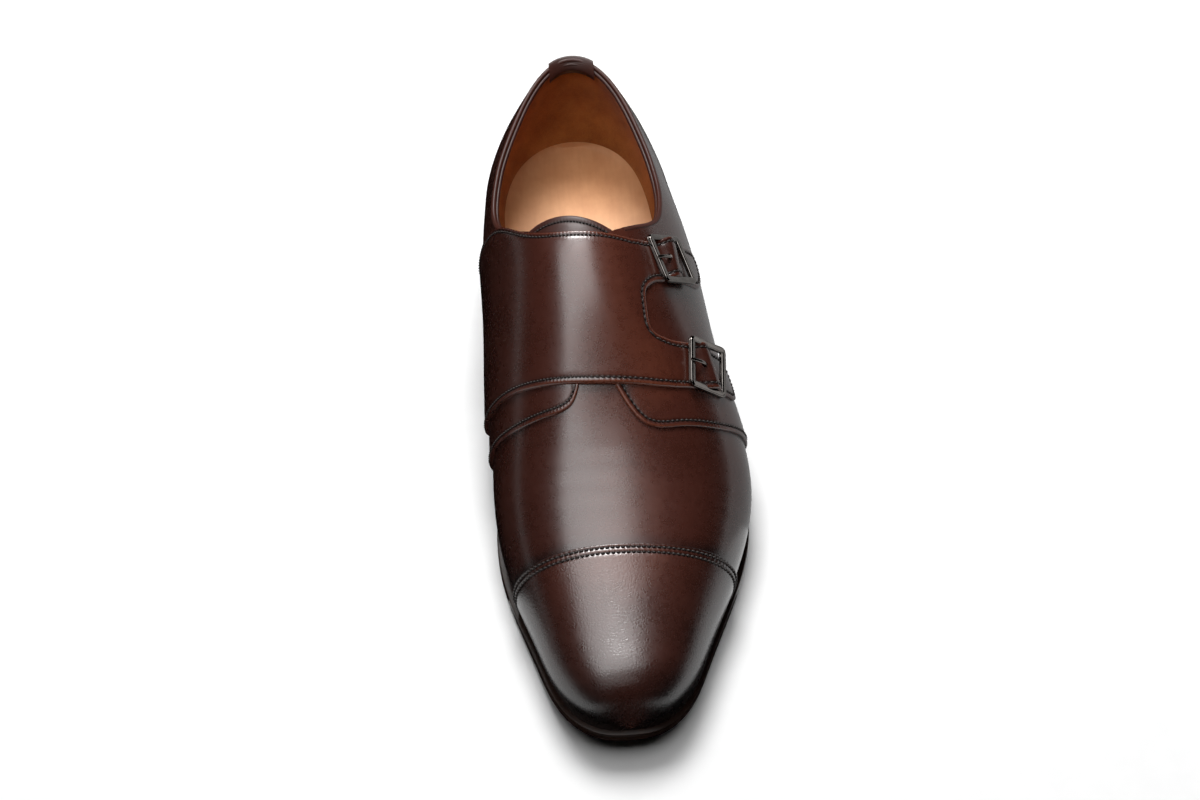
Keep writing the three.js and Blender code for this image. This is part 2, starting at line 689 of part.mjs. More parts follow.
// the origin is the middle of the box's underside
const box = new THREE.Box3().setFromObject(shoe);
const middle = box.getCenter(new THREE.Vector3());
shoe.position.set(-middle.x, -middle.y, -box.min.z);

export default shoe;
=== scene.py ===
"""Looks of a double monk strap shoe, the wearer's left one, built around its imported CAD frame."""
import json
import math

import bmesh
import bpy
import numpy as np
from mathutils import Matrix, Vector
from mathutils.geometry import delaunay_2d_cdt

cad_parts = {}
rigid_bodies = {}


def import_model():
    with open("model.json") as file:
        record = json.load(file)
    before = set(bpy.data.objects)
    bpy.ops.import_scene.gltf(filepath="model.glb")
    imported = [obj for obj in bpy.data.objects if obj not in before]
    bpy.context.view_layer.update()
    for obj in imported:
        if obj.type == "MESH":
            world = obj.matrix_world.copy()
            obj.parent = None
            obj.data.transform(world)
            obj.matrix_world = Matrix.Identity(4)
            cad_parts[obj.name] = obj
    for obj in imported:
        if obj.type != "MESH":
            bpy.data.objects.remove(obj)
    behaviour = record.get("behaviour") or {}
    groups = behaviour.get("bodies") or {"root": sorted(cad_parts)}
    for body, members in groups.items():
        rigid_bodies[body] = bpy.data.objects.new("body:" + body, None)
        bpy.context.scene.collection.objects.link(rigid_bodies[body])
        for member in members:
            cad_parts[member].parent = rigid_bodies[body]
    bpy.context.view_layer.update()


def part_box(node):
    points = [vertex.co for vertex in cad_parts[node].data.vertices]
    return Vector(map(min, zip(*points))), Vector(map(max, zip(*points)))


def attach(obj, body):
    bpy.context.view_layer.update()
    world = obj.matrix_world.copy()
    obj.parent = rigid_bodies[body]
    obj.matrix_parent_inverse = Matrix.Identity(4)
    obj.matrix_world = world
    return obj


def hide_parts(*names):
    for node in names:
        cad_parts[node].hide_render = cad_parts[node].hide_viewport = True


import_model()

# ---- sizes in millimetres; stations run along the shoe, from the heel's back to the toe's tip ----
MM = 0.001
TINY = 1e-12
LAST_LENGTH = 293.0
WALL = 2.0
SOLE_THICKNESS = 4.5
SOLE_TOE = 3.3               # how far the sole reaches past the last at the toe
SOLE_HEEL = 1.5              # and at the heel
CAD_GAP = 0.3
INSOLE_THICKNESS = 3.5
SEAT_HEIGHT = 22.0
SEAT_END = 40.0
ARCH_POWER = 0.9
TREAD_BACK = 180.0
TREAD_FRONT = 206.0
TOE_SPRING = 8.7
TOE_SPRING_POWER = 1.6
LIFT_THICKNESS = 6.0
HEEL_LAYER = 5.2
HEEL_BREAST = 74.0
HEEL_PITCH = 3.0
HEEL_TAPER = 1.2
GIRTH_PER_Q = 112.0          # length round the outer side for one unit of q
HEEL_ROUND = 50.0            # the heel's curve, where stations crowd
TOE_ROUND = 40.0             # and the toe's
THROAT_END = 150.0           # from here on the upper is closed over the foot
QUARTER_GRID = 170.0         # a quarter's rows lie as if its front edge were at this station
CAP_SEAM = 228.5

# stitches: their pitch, their ends in shares of it, and each row's distance from its piece's edge
STITCH_PITCH = 2.1
STITCH_ENDS = (-0.4, 0.4)
CAP_ROWS = (1.35, 3.5)
QUARTER_ROW = 2.1
FLAP_ROW = 1.9
TONGUE_ROW = 2.9

# corners beside an edge, close together where it rolls over and where the seam lies
CAP_RINGS = (0, 0.08, 0.2, 0.4, 0.65, 0.9, 1.15, 1.4, 1.7, 2.0, 2.4, 2.8, 3.1, 3.4, 3.7, 4.0, 4.4, 4.9)
QUARTER_RINGS = (4.6, 4.0, 3.5, 3.1, 2.7, 2.4, 2.1, 1.8, 1.5, 1.2, 0.9, 0.6, 0.35, 0.15, 0.05, 0.0)
FLAP_RINGS = (0.1, 0.3, 0.6, 1.0, 1.35, 1.65, 1.9, 2.15, 2.45, 2.9)
TONGUE_RINGS = (0.15, 0.5, 1.2, 1.9, 2.4, 2.9, 3.4, 4.0)

# how much larger than the last the faces of the pieces are
CAP_HIGH = 1.15
QUARTER_HIGH = 1.4
FLAP_LOW = 1.35
FLAP_HIGH = 3.1
STRAP_THINNER = 0.35
TONGUE_LOW = -3.8
TONGUE_HIGH = -2.1
COLLAR_EDGE_GROW = 0.55
BUCKLE_GROW = 3.6

BUCKLE_WIDTH = 22.0
BUCKLE_LENGTH = 22.0
BUCKLE_BAR = 2.6

# ---- the last --------------------------------------------------------------------------------
LAST_COLUMNS = ("s", "ridge", "widest", "lateral", "medial", "tuck_lat", "tuck_med", "shift",
                "slim_lat", "slim_med")
LAST = [
    (0, 105.0, 20, 38.0, 37.5, 4.5, 4.5, 0.0, 0.42, 0.42),
    (35, 105.4, 20, 35.0, 37.5, 5.0, 6.0, 0.0, 0.42, 0.30),
    (74, 103.5, 21, 41.5, 42.0, 9.5, 12.5, -2.0, 0.32, -0.05),
    (104, 99.5, 21, 46.5, 42.5, 12.0, 16.5, -4.0, 0.24, 0.02),
    (133, 91.0, 20, 50.5, 44.0, 10.5, 14.0, -5.0, 0.18, 0.08),
    (162, 75.0, 17, 57.5, 45.5, 7.0, 7.5, -5.5, 0.10, 0.06),
    (190, 60.0, 14, 59.5, 46.5, 3.5, 3.5, -5.0, 0.02, 0.00),
    (220, 49.6, 12, 51.8, 43.0, 2.0, 2.5, -3.5, -0.03, -0.05),
    (245, 43.6, 10, 41.0, 36.2, 1.5, 2.0, -2.0, -0.05, -0.06),
    (267, 39.2, 9, 31.6, 30.2, 1.0, 2.0, -0.5, -0.06, -0.06),
    (293, 35.5, 8, 22.5, 23.0, 0.5, 0.5, 0.0, -0.06, -0.06),
]
SOLE_COLUMNS = ("s", "lateral", "medial")
SOLE = [
    (0, 33.0, 33.0),
    (35, 33.5, 34.5),
    (74, 35.5, 33.0),
    (104, 38.0, 30.5),
    (133, 44.0, 33.5),
    (162, 53.0, 41.0),
    (190, 58.5, 46.0),
    (220, 52.8, 44.2),
    (245, 42.6, 37.8),
    (267, 33.2, 31.8),
    (293, 24.3, 24.8),
]
# share of the girth that the collar reaches
COLLAR_COLUMNS = ("s", "lateral", "medial")
COLLAR = [
    (0, 0.545, 0.545),
    (20, 0.50, 0.50),
    (45, 0.475, 0.465),
    (70, 0.485, 0.45),
    (86, 0.535, 0.49),
    (100, 0.65, 0.66),
    (112, 0.86, 0.86),
    (130, 0.90, 0.90),
    (150, 1.0, 1.0),
]
SIDES = {1: "lateral", -1: "medial"}
# front edges of the quarters: share of the girth and station
QUARTER_FRONT = {
    1: [(0, 165), (0.34, 171.6), (0.53, 177), (0.71, 181), (0.8, 182.4), (0.85, 179.6), (0.885, 174),
        (0.912, 168)],
    -1: [(0, 166), (0.34, 170.4), (0.59, 174.4), (0.76, 175.6), (0.87, 175), (0.925, 171),
         (0.942, 168)],
}
QUARTER_TOP = {side: rows[-1][0] for side, rows in QUARTER_FRONT.items()}
# edges of the flap at girth places q, from the medial lower edge over the ridge to the straps
FLAP_COLUMNS = ("q", "back", "front")
FLAP = [
    (-1.0, 80, 150),
    (-0.6, 86, 157.5),
    (-0.45, 92, 160.5),
    (-0.31, 103, 163.5),
    (-0.15, 110, 166.3),
    (0.0, 112, 167.8),
    (0.27, 112, 167.5),
]
STRAP_START = 0.27
STRAP_WIDTH = 17.0
HEEL_BACK = [(0, 5.0), (20, 0.2), (40, 0.8), (57, 3.2), (80, 8.0)]    # height and lean forwards
HEEL_BACK_REACH = 70.0
LOWER_WALL = 0.2             # share of the girth below the widest place
WIDEST_SHARE = 0.45          # the widest place is never higher than this share of the ridge
# how the ends round off: length, power and root for closing()
TOE_PLAN = (34.5, 3.1, 2.65)
TOE_PROFILE = (20.0, 2.6, 2.2)
HEEL_PLAN = (43.0, 2.0, 2.0)
HEEL_RISE = 0.3
SOLE_HEEL_PLAN = (34.0, 2.0, 2.0)


def spline(rows, column=1):
    """Natural cubic spline through one column of a table, held at its ends."""
    xs = np.array([row[0] for row in rows], float)
    ys = np.array([row[column] for row in rows], float)
    n = len(xs)
    step = np.diff(xs)
    matrix = np.eye(n)
    right = np.zeros(n)
    for i in range(1, n - 1):
        matrix[i, i - 1:i + 2] = step[i - 1], 2 * (step[i - 1] + step[i]), step[i]
        right[i] = 6 * ((ys[i + 1] - ys[i]) / step[i] - (ys[i] - ys[i - 1]) / step[i - 1])
    bend = np.linalg.solve(matrix, right)

    def at(x):
        x = np.clip(np.asarray(x, float), xs[0], xs[-1])
        i = np.clip(np.searchsorted(xs, x, side="right") - 1, 0, n - 2)
        t, u, h = x - xs[i], xs[i + 1] - x, step[i]
        cubic = (bend[i] * u ** 3 + bend[i + 1] * t ** 3) / (6 * h)
        return cubic + (ys[i] / h - bend[i] * h / 6) * u + (ys[i + 1] / h - bend[i + 1] * h / 6) * t

    return at


def table(rows, columns):
    """A spline for each named column of a table over its first one."""
    return {name: spline(rows, i) for i, name in enumerate(columns) if i}


last = table(LAST, LAST_COLUMNS)
sole_edge = table(SOLE, SOLE_COLUMNS)
collar = table(COLLAR, COLLAR_COLUMNS)
flap_edge = table(FLAP, FLAP_COLUMNS)
quarter_front = {side: spline(rows) for side, rows in QUARTER_FRONT.items()}
heel_back = spline(HEEL_BACK)


def closing(distance, plan):
    """0 at an end of the shoe, rising to 1 over the plan's length: it rounds the end off."""
    length, power, root = plan
    t = np.clip(distance / length, 0, 1)
    return (1 - (1 - t) ** power) ** (1 / root)


def smooth(t):
    """0 below 0, 1 above 1 and an even curve between."""
    t = np.clip(t, 0, 1)
    return t * t * (3 - 2 * t)


def sole_underside(s):
    s = np.asarray(s, float)
    arch = smooth((TREAD_BACK - s) / (TREAD_BACK - SEAT_END)) ** ARCH_POWER
    toe = np.maximum(0, (s - TREAD_FRONT) / (LAST_LENGTH - TREAD_FRONT))
    return SEAT_HEIGHT * arch + TOE_SPRING * toe ** TOE_SPRING_POWER


def sole_half_width(s, side):
    s = np.asarray(s, float)
    ends = closing(LAST_LENGTH + SOLE_TOE - s, TOE_PLAN) * closing(s + SOLE_HEEL, SOLE_HEEL_PLAN)
    wide = np.where(np.asarray(side) > 0, sole_edge["lateral"](s), sole_edge["medial"](s))
    return side * wide * ends


# the frame's place of the last's axis and heel back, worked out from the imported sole
SOLE_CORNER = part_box("outsole")[1]
AXIS_X = SOLE_CORNER.x - float(sole_half_width(np.linspace(0, LAST_LENGTH, 2000), 1).max()) * MM
HEEL_Y = SOLE_CORNER.y - SOLE_HEEL * MM


def placed(x, s, z):
    """Shoe sizes in millimetres to frame places in metres."""
    return np.stack([np.asarray(x) * MM + AXIS_X, HEEL_Y - np.asarray(s) * MM, np.asarray(z) * MM], -1)


def last_point(s, q, grow):
    """A point of the last in the frame. q runs from -1, the medial lower edge, over 0, the ridge,
    to 1, the lateral lower edge; grow is how much larger the form is than the last."""
    s, q, grow = np.broadcast_arrays(*(np.asarray(a, float) for a in (s, q, grow)))
    outer = q >= 0
    side = np.where(outer, 1.0, -1.0)
    v = 1 - np.abs(q)
    station = s + grow * (2 * s / LAST_LENGTH - 1)
    at = np.clip(station, 0, LAST_LENGTH)
    to_tip = LAST_LENGTH + grow - station
    base = sole_underside(at) + SOLE_THICKNESS + CAD_GAP
    ridge = (last["ridge"](at) - base + grow) * closing(to_tip, TOE_PROFILE)
    widest = np.minimum(last["widest"](at), WIDEST_SHARE * ridge)
    width = np.where(outer, last["lateral"](at), last["medial"](at)) + grow
    foot = width - np.where(outer, last["tuck_lat"](at), last["tuck_med"](at))
    slim = np.where(outer, last["slim_lat"](at), last["slim_med"](at))
    shift = last["shift"](at) * side
    turn = np.clip((v - LOWER_WALL) / (1 - LOWER_WALL), 0, 1) * math.pi / 2
    low = v <= LOWER_WALL
    height = np.where(low, widest * v / LOWER_WALL, widest + (ridge - widest) * np.sin(turn))
    half = np.where(
        low,
        foot + (width - foot) * np.sin(np.clip(v / LOWER_WALL, -1, 1) * math.pi / 2),
        shift + (width - shift) * np.cos(turn) * (1 - slim * np.sin(turn) ** 2),
    )
    heel_length = HEEL_PLAN[0] + HEEL_RISE * height
    heel = closing(station + grow, (heel_length, HEEL_PLAN[1], HEEL_PLAN[2]))
    x = side * half * closing(to_tip, TOE_PLAN) * heel
    lean = heel_back(height) * np.maximum(0, 1 - station / HEEL_BACK_REACH) ** 2
    return placed(x, station + lean, base + height)


def unit(vectors):
    """Vectors scaled to length one."""
    return vectors / np.maximum(np.linalg.norm(vectors, axis=-1, keepdims=True), TINY)


def last_normal(s, q, grow):
    """Outward unit normals of the grown form."""
    s, q, grow = np.broadcast_arrays(*(np.asarray(a, float) for a in (s, q, grow)))
    ds, dq = 0.4, 0.004
    s0, s1 = np.maximum(s - ds, 0), np.minimum(s + ds, LAST_LENGTH)
    along = last_point(s1, q, grow) - last_point(s0, q, grow)
    q0, q1 = np.maximum(q - dq, -1), np.minimum(q + dq, 1)
    around = last_point(s, q1, grow) - last_point(s, q0, grow)
    normal = unit(np.cross(along, around))
    outward = last_point(s, q, grow + 1) - last_point(s, q, grow)
    flip = np.sign((normal * outward).sum(-1, keepdims=True))
    return normal * np.where(flip == 0, 1, flip)


# ---- mesh helpers ----------------------------------------------------------------------------
WELD = 2e-6
SLIVER = 1e-7


def linked_mesh(name, points, faces, material):
    """A mesh object with one material, linked to the scene."""
    mesh = bpy.data.meshes.new(name)
    mesh.from_pydata([tuple(p) for p in np.asarray(points, float)], [], [tuple(f) for f in faces])
    mesh.validate()
    mesh.materials.append(material)
    made = bpy.data.objects.new(name, mesh)
    bpy.context.scene.collection.objects.link(made)
    return made


def shoe_piece(name, points, faces, material, weld=False, dissolve=False):
    """A smooth shaded piece of the shoe, with all faces turned outward."""
    piece = linked_mesh(name, points, faces, material)
    piece.data.shade_smooth()
    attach(piece, "root")
    turn_outward(piece, weld, dissolve)
    return piece


def turn_outward(piece, weld, dissolve):
    """Turns all faces outward, if wanted after welding near corners and dissolving slivers."""
    work = bmesh.new()
    work.from_mesh(piece.data)
    if weld:
        bmesh.ops.remove_doubles(work, verts=work.verts, dist=WELD)
    if dissolve:
        bmesh.ops.dissolve_degenerate(work, edges=work.edges, dist=SLIVER)
    bmesh.ops.recalc_face_normals(work, faces=work.faces)
    work.to_mesh(piece.data)
    work.free()


def set_sharp(piece, degrees):
    piece.data.set_sharp_from_angle(angle=math.radians(degrees))


def set_tone(piece, values):
    """The tone at each corner, which polished_leather reads: 0 burnished dark, 1 rubbed warm; it also
    holds painted light and shade.
    """
    layer = piece.data.attributes.new("tone", "FLOAT", "POINT")
    layer.data.foreach_set("value", np.asarray(values, np.float32))


def grid_faces(rows, columns, offset=0):
    return [
        (offset + i * columns + j, offset + (i + 1) * columns + j,
         offset + (i + 1) * columns + j + 1, offset + i * columns + j + 1)
        for i in range(rows - 1) for j in range(columns - 1)
    ]
def slab_faces(rows, columns):
    """Faces of the solid between two grids whose corners follow one another."""
    count = rows * columns
    top = grid_faces(rows, columns)
    ring = ([j for j in range(columns)] + [i * columns + columns - 1 for i in range(1, rows)]
            + [(rows - 1) * columns + j for j in range(columns - 2, -1, -1)]
            + [i * columns for i in range(rows - 2, 0, -1)])
    return ([tuple(count + i for i in f) for f in top] + [tuple(reversed(f)) for f in top]
            + [(a, b, count + b, count + a) for a, b in zip(ring, ring[1:] + ring[:1])])


def distinct(corners):
    """The corners of a face, each once."""
    return tuple(dict.fromkeys(int(i) for i in corners))


def merged(points, faces):
    """One corner for each place, and no face with a corner twice."""
    keys = np.round(np.asarray(points) / (0.002 * MM)).astype(np.int64)
    _, first, inverse = np.unique(keys, axis=0, return_index=True, return_inverse=True)
    inverse = inverse.reshape(-1)
    faces = [distinct(inverse[c] for c in face) for face in faces]
    return first, [face for face in faces if len(face) > 2]


def thick_sheet(name, s, q, low, high, faces, material, tone=None):
    """A solid sheet over flat arrays of (s, q) corners: an outer face, an inner face and the rim."""
    outer = last_point(s, q, high)
    inner = last_point(s, q, low)
    first, faces = merged(outer, faces)
    outer, inner = outer[first], inner[first]
    count = len(outer)
    edges = {}
    for face in faces:
        for a, b in zip(face, face[1:] + face[:1]):
            if (b, a) in edges:
                del edges[(b, a)]
            else:
                edges[(a, b)] = True
    solid = list(faces) + [tuple(count + i for i in reversed(face)) for face in faces]
    solid += [(b, a, count + a, count + b) for a, b in edges]
    piece = shoe_piece(name, np.concatenate([outer, inner]), solid, material)
    if tone is not None:
        set_tone(piece, np.concatenate([tone[first], tone[first]]))
    set_sharp(piece, 50)
    return piece


def heel_stations(to, per_degree=3.0):
    """Stations that are even round the heel's curve, then every two millimetres."""
    round_part = HEEL_ROUND * (1 - np.cos(np.radians(np.arange(0, 90 + 1e-6, per_degree))))
    straight = np.arange(HEEL_ROUND + 2, to - 1, 2.0)
    return np.concatenate([round_part, straight, [to]])


def toe_stations(start, step=1.6):
    """Stations that crowd towards the toe's tip."""
    bend = LAST_LENGTH - TOE_ROUND
    straight = np.arange(start, bend, step)
    t = np.linspace(0, 1, 34)
    return np.concatenate([straight, LAST_LENGTH - TOE_ROUND * (1 - t) ** 2])


def runs_along(line):
    """The length along a polyline at each of its points."""
    return np.concatenate([[0], np.cumsum(np.linalg.norm(np.diff(line, axis=0), axis=1))])


def nearest_on(points, outline, closed=True):
    """Distance of flat points to a polyline and how far along it they are nearest."""
    a = np.asarray(outline, float)
    b = np.roll(a, -1, axis=0) if closed else a[1:]
    a = a if closed else a[:-1]
    lengths = np.linalg.norm(b - a, axis=1)
    starts = np.concatenate([[0], np.cumsum(lengths)[:-1]])
    best = np.full(len(points), 1e9)
    run = np.zeros(len(points))
    for start, end, length, travelled in zip(a, b, lengths, starts):
        line = end - start
        t = np.clip(((points - start) @ line) / max(line @ line, 1e-12), 0, 1)
        away = np.linalg.norm(points - start - t[:, None] * line, axis=1)
        closer = away < best
        best = np.where(closer, away, best)
        run = np.where(closer, travelled + t * length, run)
    return best, run


def even_steps(points, step, closed=False):
    """The polyline resampled at an even step."""
    points = np.asarray(points, float)
    if closed:
        points = np.vstack([points, points[:1]])
    lengths = runs_along(points)
    count = max(2, int(round(lengths[-1] / step)) + 1)
    at = np.linspace(0, lengths[-1], count)
    result = np.stack([np.interp(at, lengths, points[:, k]) for k in range(points.shape[1])], -1)
    return result[:-1] if closed else result


def inset(outline, distance):
    """The closed outline moved inwards; it runs anticlockwise in (s, girth)."""
    tangent = unit(np.roll(outline, -1, axis=0) - np.roll(outline, 1, axis=0))
    return outline + distance * np.stack([-tangent[:, 1], tangent[:, 0]], -1)


def anticlockwise(outline):
    x, y = outline[:, 0], outline[:, 1]
    area = (x * np.roll(y, -1) - np.roll(x, -1) * y).sum()
    return outline if area > 0 else outline[::-1]


def edge_roll(distance, radius):
    """How much a rounded edge drops at a distance from it."""
    t = np.clip(distance / radius, 0, 1)
    return radius * (1 - np.sqrt(np.maximum(0, 1 - (1 - t) ** 2)))


def stitch_holes(run):
    """1 at the holes between stitches and 0 under their middles."""
    return 0.5 + 0.5 * np.cos(2 * math.pi * run / STITCH_PITCH)


def seam_relief(distance, run, at, depth=0.36, width=0.6):
    """A puckered trough under a row of stitches, and the small bulges between it and the edge."""
    trough = np.exp(-((distance - at) / width) ** 2) * (0.55 + 0.45 * stitch_holes(run))
    bulge = np.exp(-((distance - at + 1.1) / 0.5) ** 2) * (1 - stitch_holes(run))
    return 0.10 * bulge - depth * trough


def seam_painted_shade(distance, run, at, width=0.42):
    """Painted shade in a seam's trough, darkest at its holes."""
    return -0.7 * np.exp(-((distance - at) / width) ** 2) * (0.6 + 0.4 * stitch_holes(run))


def sewn_edge(points, outline, row, radius, lighter_edge=0.3, lighter_edge_width=0.8, closed=True):
    """What a rolled edge with a row of stitches adds to a sheet's height and to its tone: painted shade in
    the seam and a lighter strip at the edge.
    """
    distance, run = nearest_on(points, outline, closed)
    height = seam_relief(distance, run, row) - edge_roll(distance, radius)
    # a lighter strip along the edge, by a fixed amount
    return height, seam_painted_shade(distance, run, row) + lighter_edge * (distance < lighter_edge_width)


def filled(outline, spacing, insets=(), holes=()):
    """Corners and faces that fill an outline, with rings of corners beside it."""
    loops = [outline] + [inset(outline, d) for d in insets] + list(holes)
    points, edges = [], []
    for loop in loops:
        start = len(points)
        points += [tuple(p) for p in loop]
        edges += [(start + i, start + (i + 1) % len(loop)) for i in range(len(loop))]
    low, high = outline.min(0), outline.max(0)
    xs = np.arange(low[0] + spacing / 2, high[0], spacing)
    ys = np.arange(low[1] + spacing / 2, high[1], spacing)
    grid = np.stack(np.meshgrid(xs, ys, indexing="ij"), -1).reshape(-1, 2)
    clear = spacing * 0.55
    keep = inside(grid, outline) & (nearest_on(grid, outline)[0] > max((*insets, 0)) + clear)
    for hole in holes:
        keep &= ~inside(grid, hole) & (nearest_on(grid, hole)[0] > clear)
    points += [tuple(p) for p in grid[keep]]
    found = delaunay_2d_cdt([Vector(p) for p in points], edges, [], 0, 1e-5)
    verts = np.array([tuple(p) for p in found[0]])
    faces = [tuple(f) for f in found[2]]
    middle = np.array([verts[list(f)].mean(0) for f in faces])
    good = inside(middle, outline)
    for hole in holes:
        good &= ~inside(middle, hole)
    return verts, [f for f, ok in zip(faces, good) if ok]


def inside(points, outline):
    """Which points lie within a closed outline."""
    result = np.zeros(len(points), bool)
    a, b = outline, np.roll(outline, -1, axis=0)
    for (x0, y0), (x1, y1) in zip(a, b):
        if y0 == y1:
            continue
        crosses = (points[:, 1] < max(y0, y1)) & (points[:, 1] >= min(y0, y1))
        x = x0 + (points[:, 1] - y0) * (x1 - x0) / (y1 - y0)
        result ^= crosses & (points[:, 0] < x)
    return result


# ---- materials -------------------------------------------------------------------------------
class Nodes:
    """A short way to write a node tree that ends in a principled shader."""

    def __init__(self, name):
        self.material = bpy.data.materials.new(name)
        self.material.use_nodes = True
        self.tree = self.material.node_tree
        self.tree.nodes.clear()
        output = self.add("ShaderNodeOutputMaterial")
        self.shader = self.add("ShaderNodeBsdfPrincipled")
        self.tree.links.new(self.shader.outputs[0], output.inputs[0])
        self.place = self.add("ShaderNodeTexCoord").outputs["Object"]

    def add(self, kind, inputs=None, **settings):
        node = self.tree.nodes.new(kind)
        for key, value in settings.items():
            setattr(node, key, value)
        for key, value in (inputs or {}).items():
            self.set(node, key, value)
        return node

    def set(self, node, key, value):
        if isinstance(value, bpy.types.NodeSocket):
            self.tree.links.new(value, node.inputs[key])
        else:
            node.inputs[key].default_value = value

    def noise(self, scale, detail=2.0, roughness=0.5, vector=None):
        node = self.add("ShaderNodeTexNoise", {"Scale": scale, "Detail": detail, "Roughness": roughness,
                                               "Vector": vector or self.place})
        return node.outputs["Fac"]

    def cells(self, scale, vector=None):
        """Distance to the edges of irregular cells."""
        node = self.add("ShaderNodeTexVoronoi", {"Scale": scale, "Vector": vector or self.place},
                        feature="DISTANCE_TO_EDGE")
        return node.outputs["Distance"]

    def stretched(self, scale):
        """The place scaled by axis, for fibres and scratches."""
        return self.add("ShaderNodeMapping", {"Vector": self.place, "Scale": scale}).outputs[0]

    def ramp(self, value, stops):
        node = self.add("ShaderNodeValToRGB", {"Fac": value})
        elements = node.color_ramp.elements
        while len(elements) < len(stops):
            elements.new(0.5)
        for element, (position, color) in zip(elements, stops):
            element.position = position
            element.color = (*color, 1)
        return node.outputs["Color"]

    def mix(self, fac, a, b, blend="MIX"):
        node = self.add("ShaderNodeMix", {0: fac}, data_type="RGBA", blend_type=blend)
        for key, color in ((6, a), (7, b)):
            self.set(node, key, color if isinstance(color, bpy.types.NodeSocket) else (*color, 1))
        return node.outputs[2]

    def math(self, operation, a, b=0.0, clamp=False):
        node = self.add("ShaderNodeMath", {0: a, 1: b}, operation=operation, use_clamp=clamp)
        return node.outputs[0]

    def weighted(self, first, first_weight, second, second_weight):
        return self.math("ADD", self.math("MULTIPLY", first, first_weight),
                         self.math("MULTIPLY", second, second_weight))

    def swing(self, value, amount):
        """A noise value turned into a change about zero."""
        return self.math("MULTIPLY", self.math("SUBTRACT", value, 0.5), amount)

    def span(self, value, low, high, to_low, to_high):
        node = self.add("ShaderNodeMapRange", {"Value": value, "From Min": low, "From Max": high,
                                               "To Min": to_low, "To Max": to_high})
        return node.outputs["Result"]

    def bump(self, height, strength, distance, normal=None):
        node = self.add("ShaderNodeBump", {"Strength": strength, "Distance": distance, "Height": height})
        if normal is not None:
            self.set(node, "Normal", normal)
        return node.outputs["Normal"]

    def principled(self, **values):
        """Sets inputs of the shader: sockets are linked, plain values set directly."""
        for key, value in values.items():
            self.set(self.shader, key.replace("_", " "), value)
        return self.material


WHITE = (1, 1, 1, 1)
PORE_DARK = (0.006, 0.003, 0.003)
SEAM_DARK = (0.004, 0.003, 0.002)


def polished_leather(name, dyes, grain=1050.0, grain_depth=0.00006, grain_strength=0.2,
                     rough=(0.24, 0.32), coat=0.3, ior=1.75):
    """Polished calf: colour from the tone attribute, which holds dye and painted light and shade, cloudy
    dye, fine pores and a thin wax coat.
    """
    n = Nodes(name)
    tone = n.add("ShaderNodeAttribute", attribute_name="tone").outputs["Fac"]
    clouds = n.noise(38.0, 4.0, 0.6)
    mottle = n.noise(420.0, 3.0, 0.6)
    shade = n.math("ADD", tone, n.swing(clouds, 0.34))
    shade = n.math("ADD", shade, n.swing(mottle, 0.14), clamp=True)
    color = n.ramp(shade, list(zip((0.0, 0.5, 1.0), dyes)))
    warp = n.add("ShaderNodeTexNoise", {"Scale": 240.0, "Vector": n.place}).outputs["Color"]
    pores = n.cells(grain, n.mix(0.0007, n.place, warp, "LINEAR_LIGHT"))
    pore_height = n.span(pores, 0.0, 0.22, 0.0, 1.0)
    height = n.weighted(pore_height, 0.65, n.noise(grain * 2.2, 3.0, 0.6), 0.5)
    waves = n.bump(n.noise(150.0, 3.0, 0.55), 0.06, 0.0003)
    normal = n.bump(height, grain_strength, grain_depth, waves)
    roughness = n.span(n.weighted(mottle, 0.5, clouds, 0.5), 0.3, 0.7, *rough)
    color = n.mix(n.span(pore_height, 0.0, 0.5, 0.15, 0.0), color, PORE_DARK)
    return n.principled(Base_Color=color, Roughness=roughness, Normal=normal, IOR=ior,
                        Specular_IOR_Level=0.55, Coat_Weight=coat, Coat_Roughness=0.16, Coat_IOR=1.45,
                        Coat_Normal=normal)


def suede(name, dark, light):
    n = Nodes(name)
    nap = n.noise(1500.0, 4.0, 0.65)
    drift = n.noise(60.0, 4.0, 0.6)
    color = n.ramp(n.weighted(nap, 0.35, drift, 0.65), [(0.3, dark), (0.7, light)])
    normal = n.bump(nap, 0.5, 0.00018, n.bump(drift, 0.25, 0.0006))
    return n.principled(Base_Color=color, Roughness=0.95, Normal=normal, Sheen_Weight=0.1,
                        Sheen_Roughness=0.5, Specular_IOR_Level=0.1)


def smooth_leather(name, dark, light):
    n = Nodes(name)
    drift = n.noise(45.0, 5.0, 0.6)
    fibres = n.noise(600.0, 3.0, 0.6, n.stretched((1.0, 0.12, 1.0)))
    color = n.ramp(n.weighted(drift, 0.8, fibres, 0.2), [(0.3, dark), (0.7, light)])
    pores = n.span(n.cells(1400.0), 0, 0.2, 0, 1)
    normal = n.bump(pores, 0.2, 0.00005, n.bump(drift, 0.15, 0.0008))
    return n.principled(Base_Color=color, Roughness=0.5, Normal=normal, Specular_IOR_Level=0.4)


def sole_leather(name, dark, light, layer=None):
    """Edge-dyed sole leather; layer is the height in metres of one layer of a stacked heel."""
    n = Nodes(name)
    fibre = n.noise(320.0, 4.0, 0.6, n.stretched((1.0, 1.0, 7.0)))
    drift = n.noise(50.0, 3.0)
    color = n.ramp(n.weighted(fibre, 0.6, drift, 0.4), [(0.3, dark), (0.75, light)])
    normal = n.bump(fibre, 0.35, 0.00012)
    if layer:
        height = n.add("ShaderNodeSeparateXYZ", {"Vector": n.place}).outputs["Z"]
        phase = n.math("FRACT", n.math("DIVIDE", height, layer))
        line = n.span(n.math("ABSOLUTE", n.math("SUBTRACT", phase, 0.5)), 0.44, 0.5, 0.0, 1.0)
        color = n.mix(n.math("MULTIPLY", line, 0.6), color, SEAM_DARK)
        normal = n.bump(n.math("MULTIPLY", line, -1.0), 0.6, 0.0002, normal)
    return n.principled(Base_Color=color, Roughness=0.32, Normal=normal, Specular_IOR_Level=0.18)


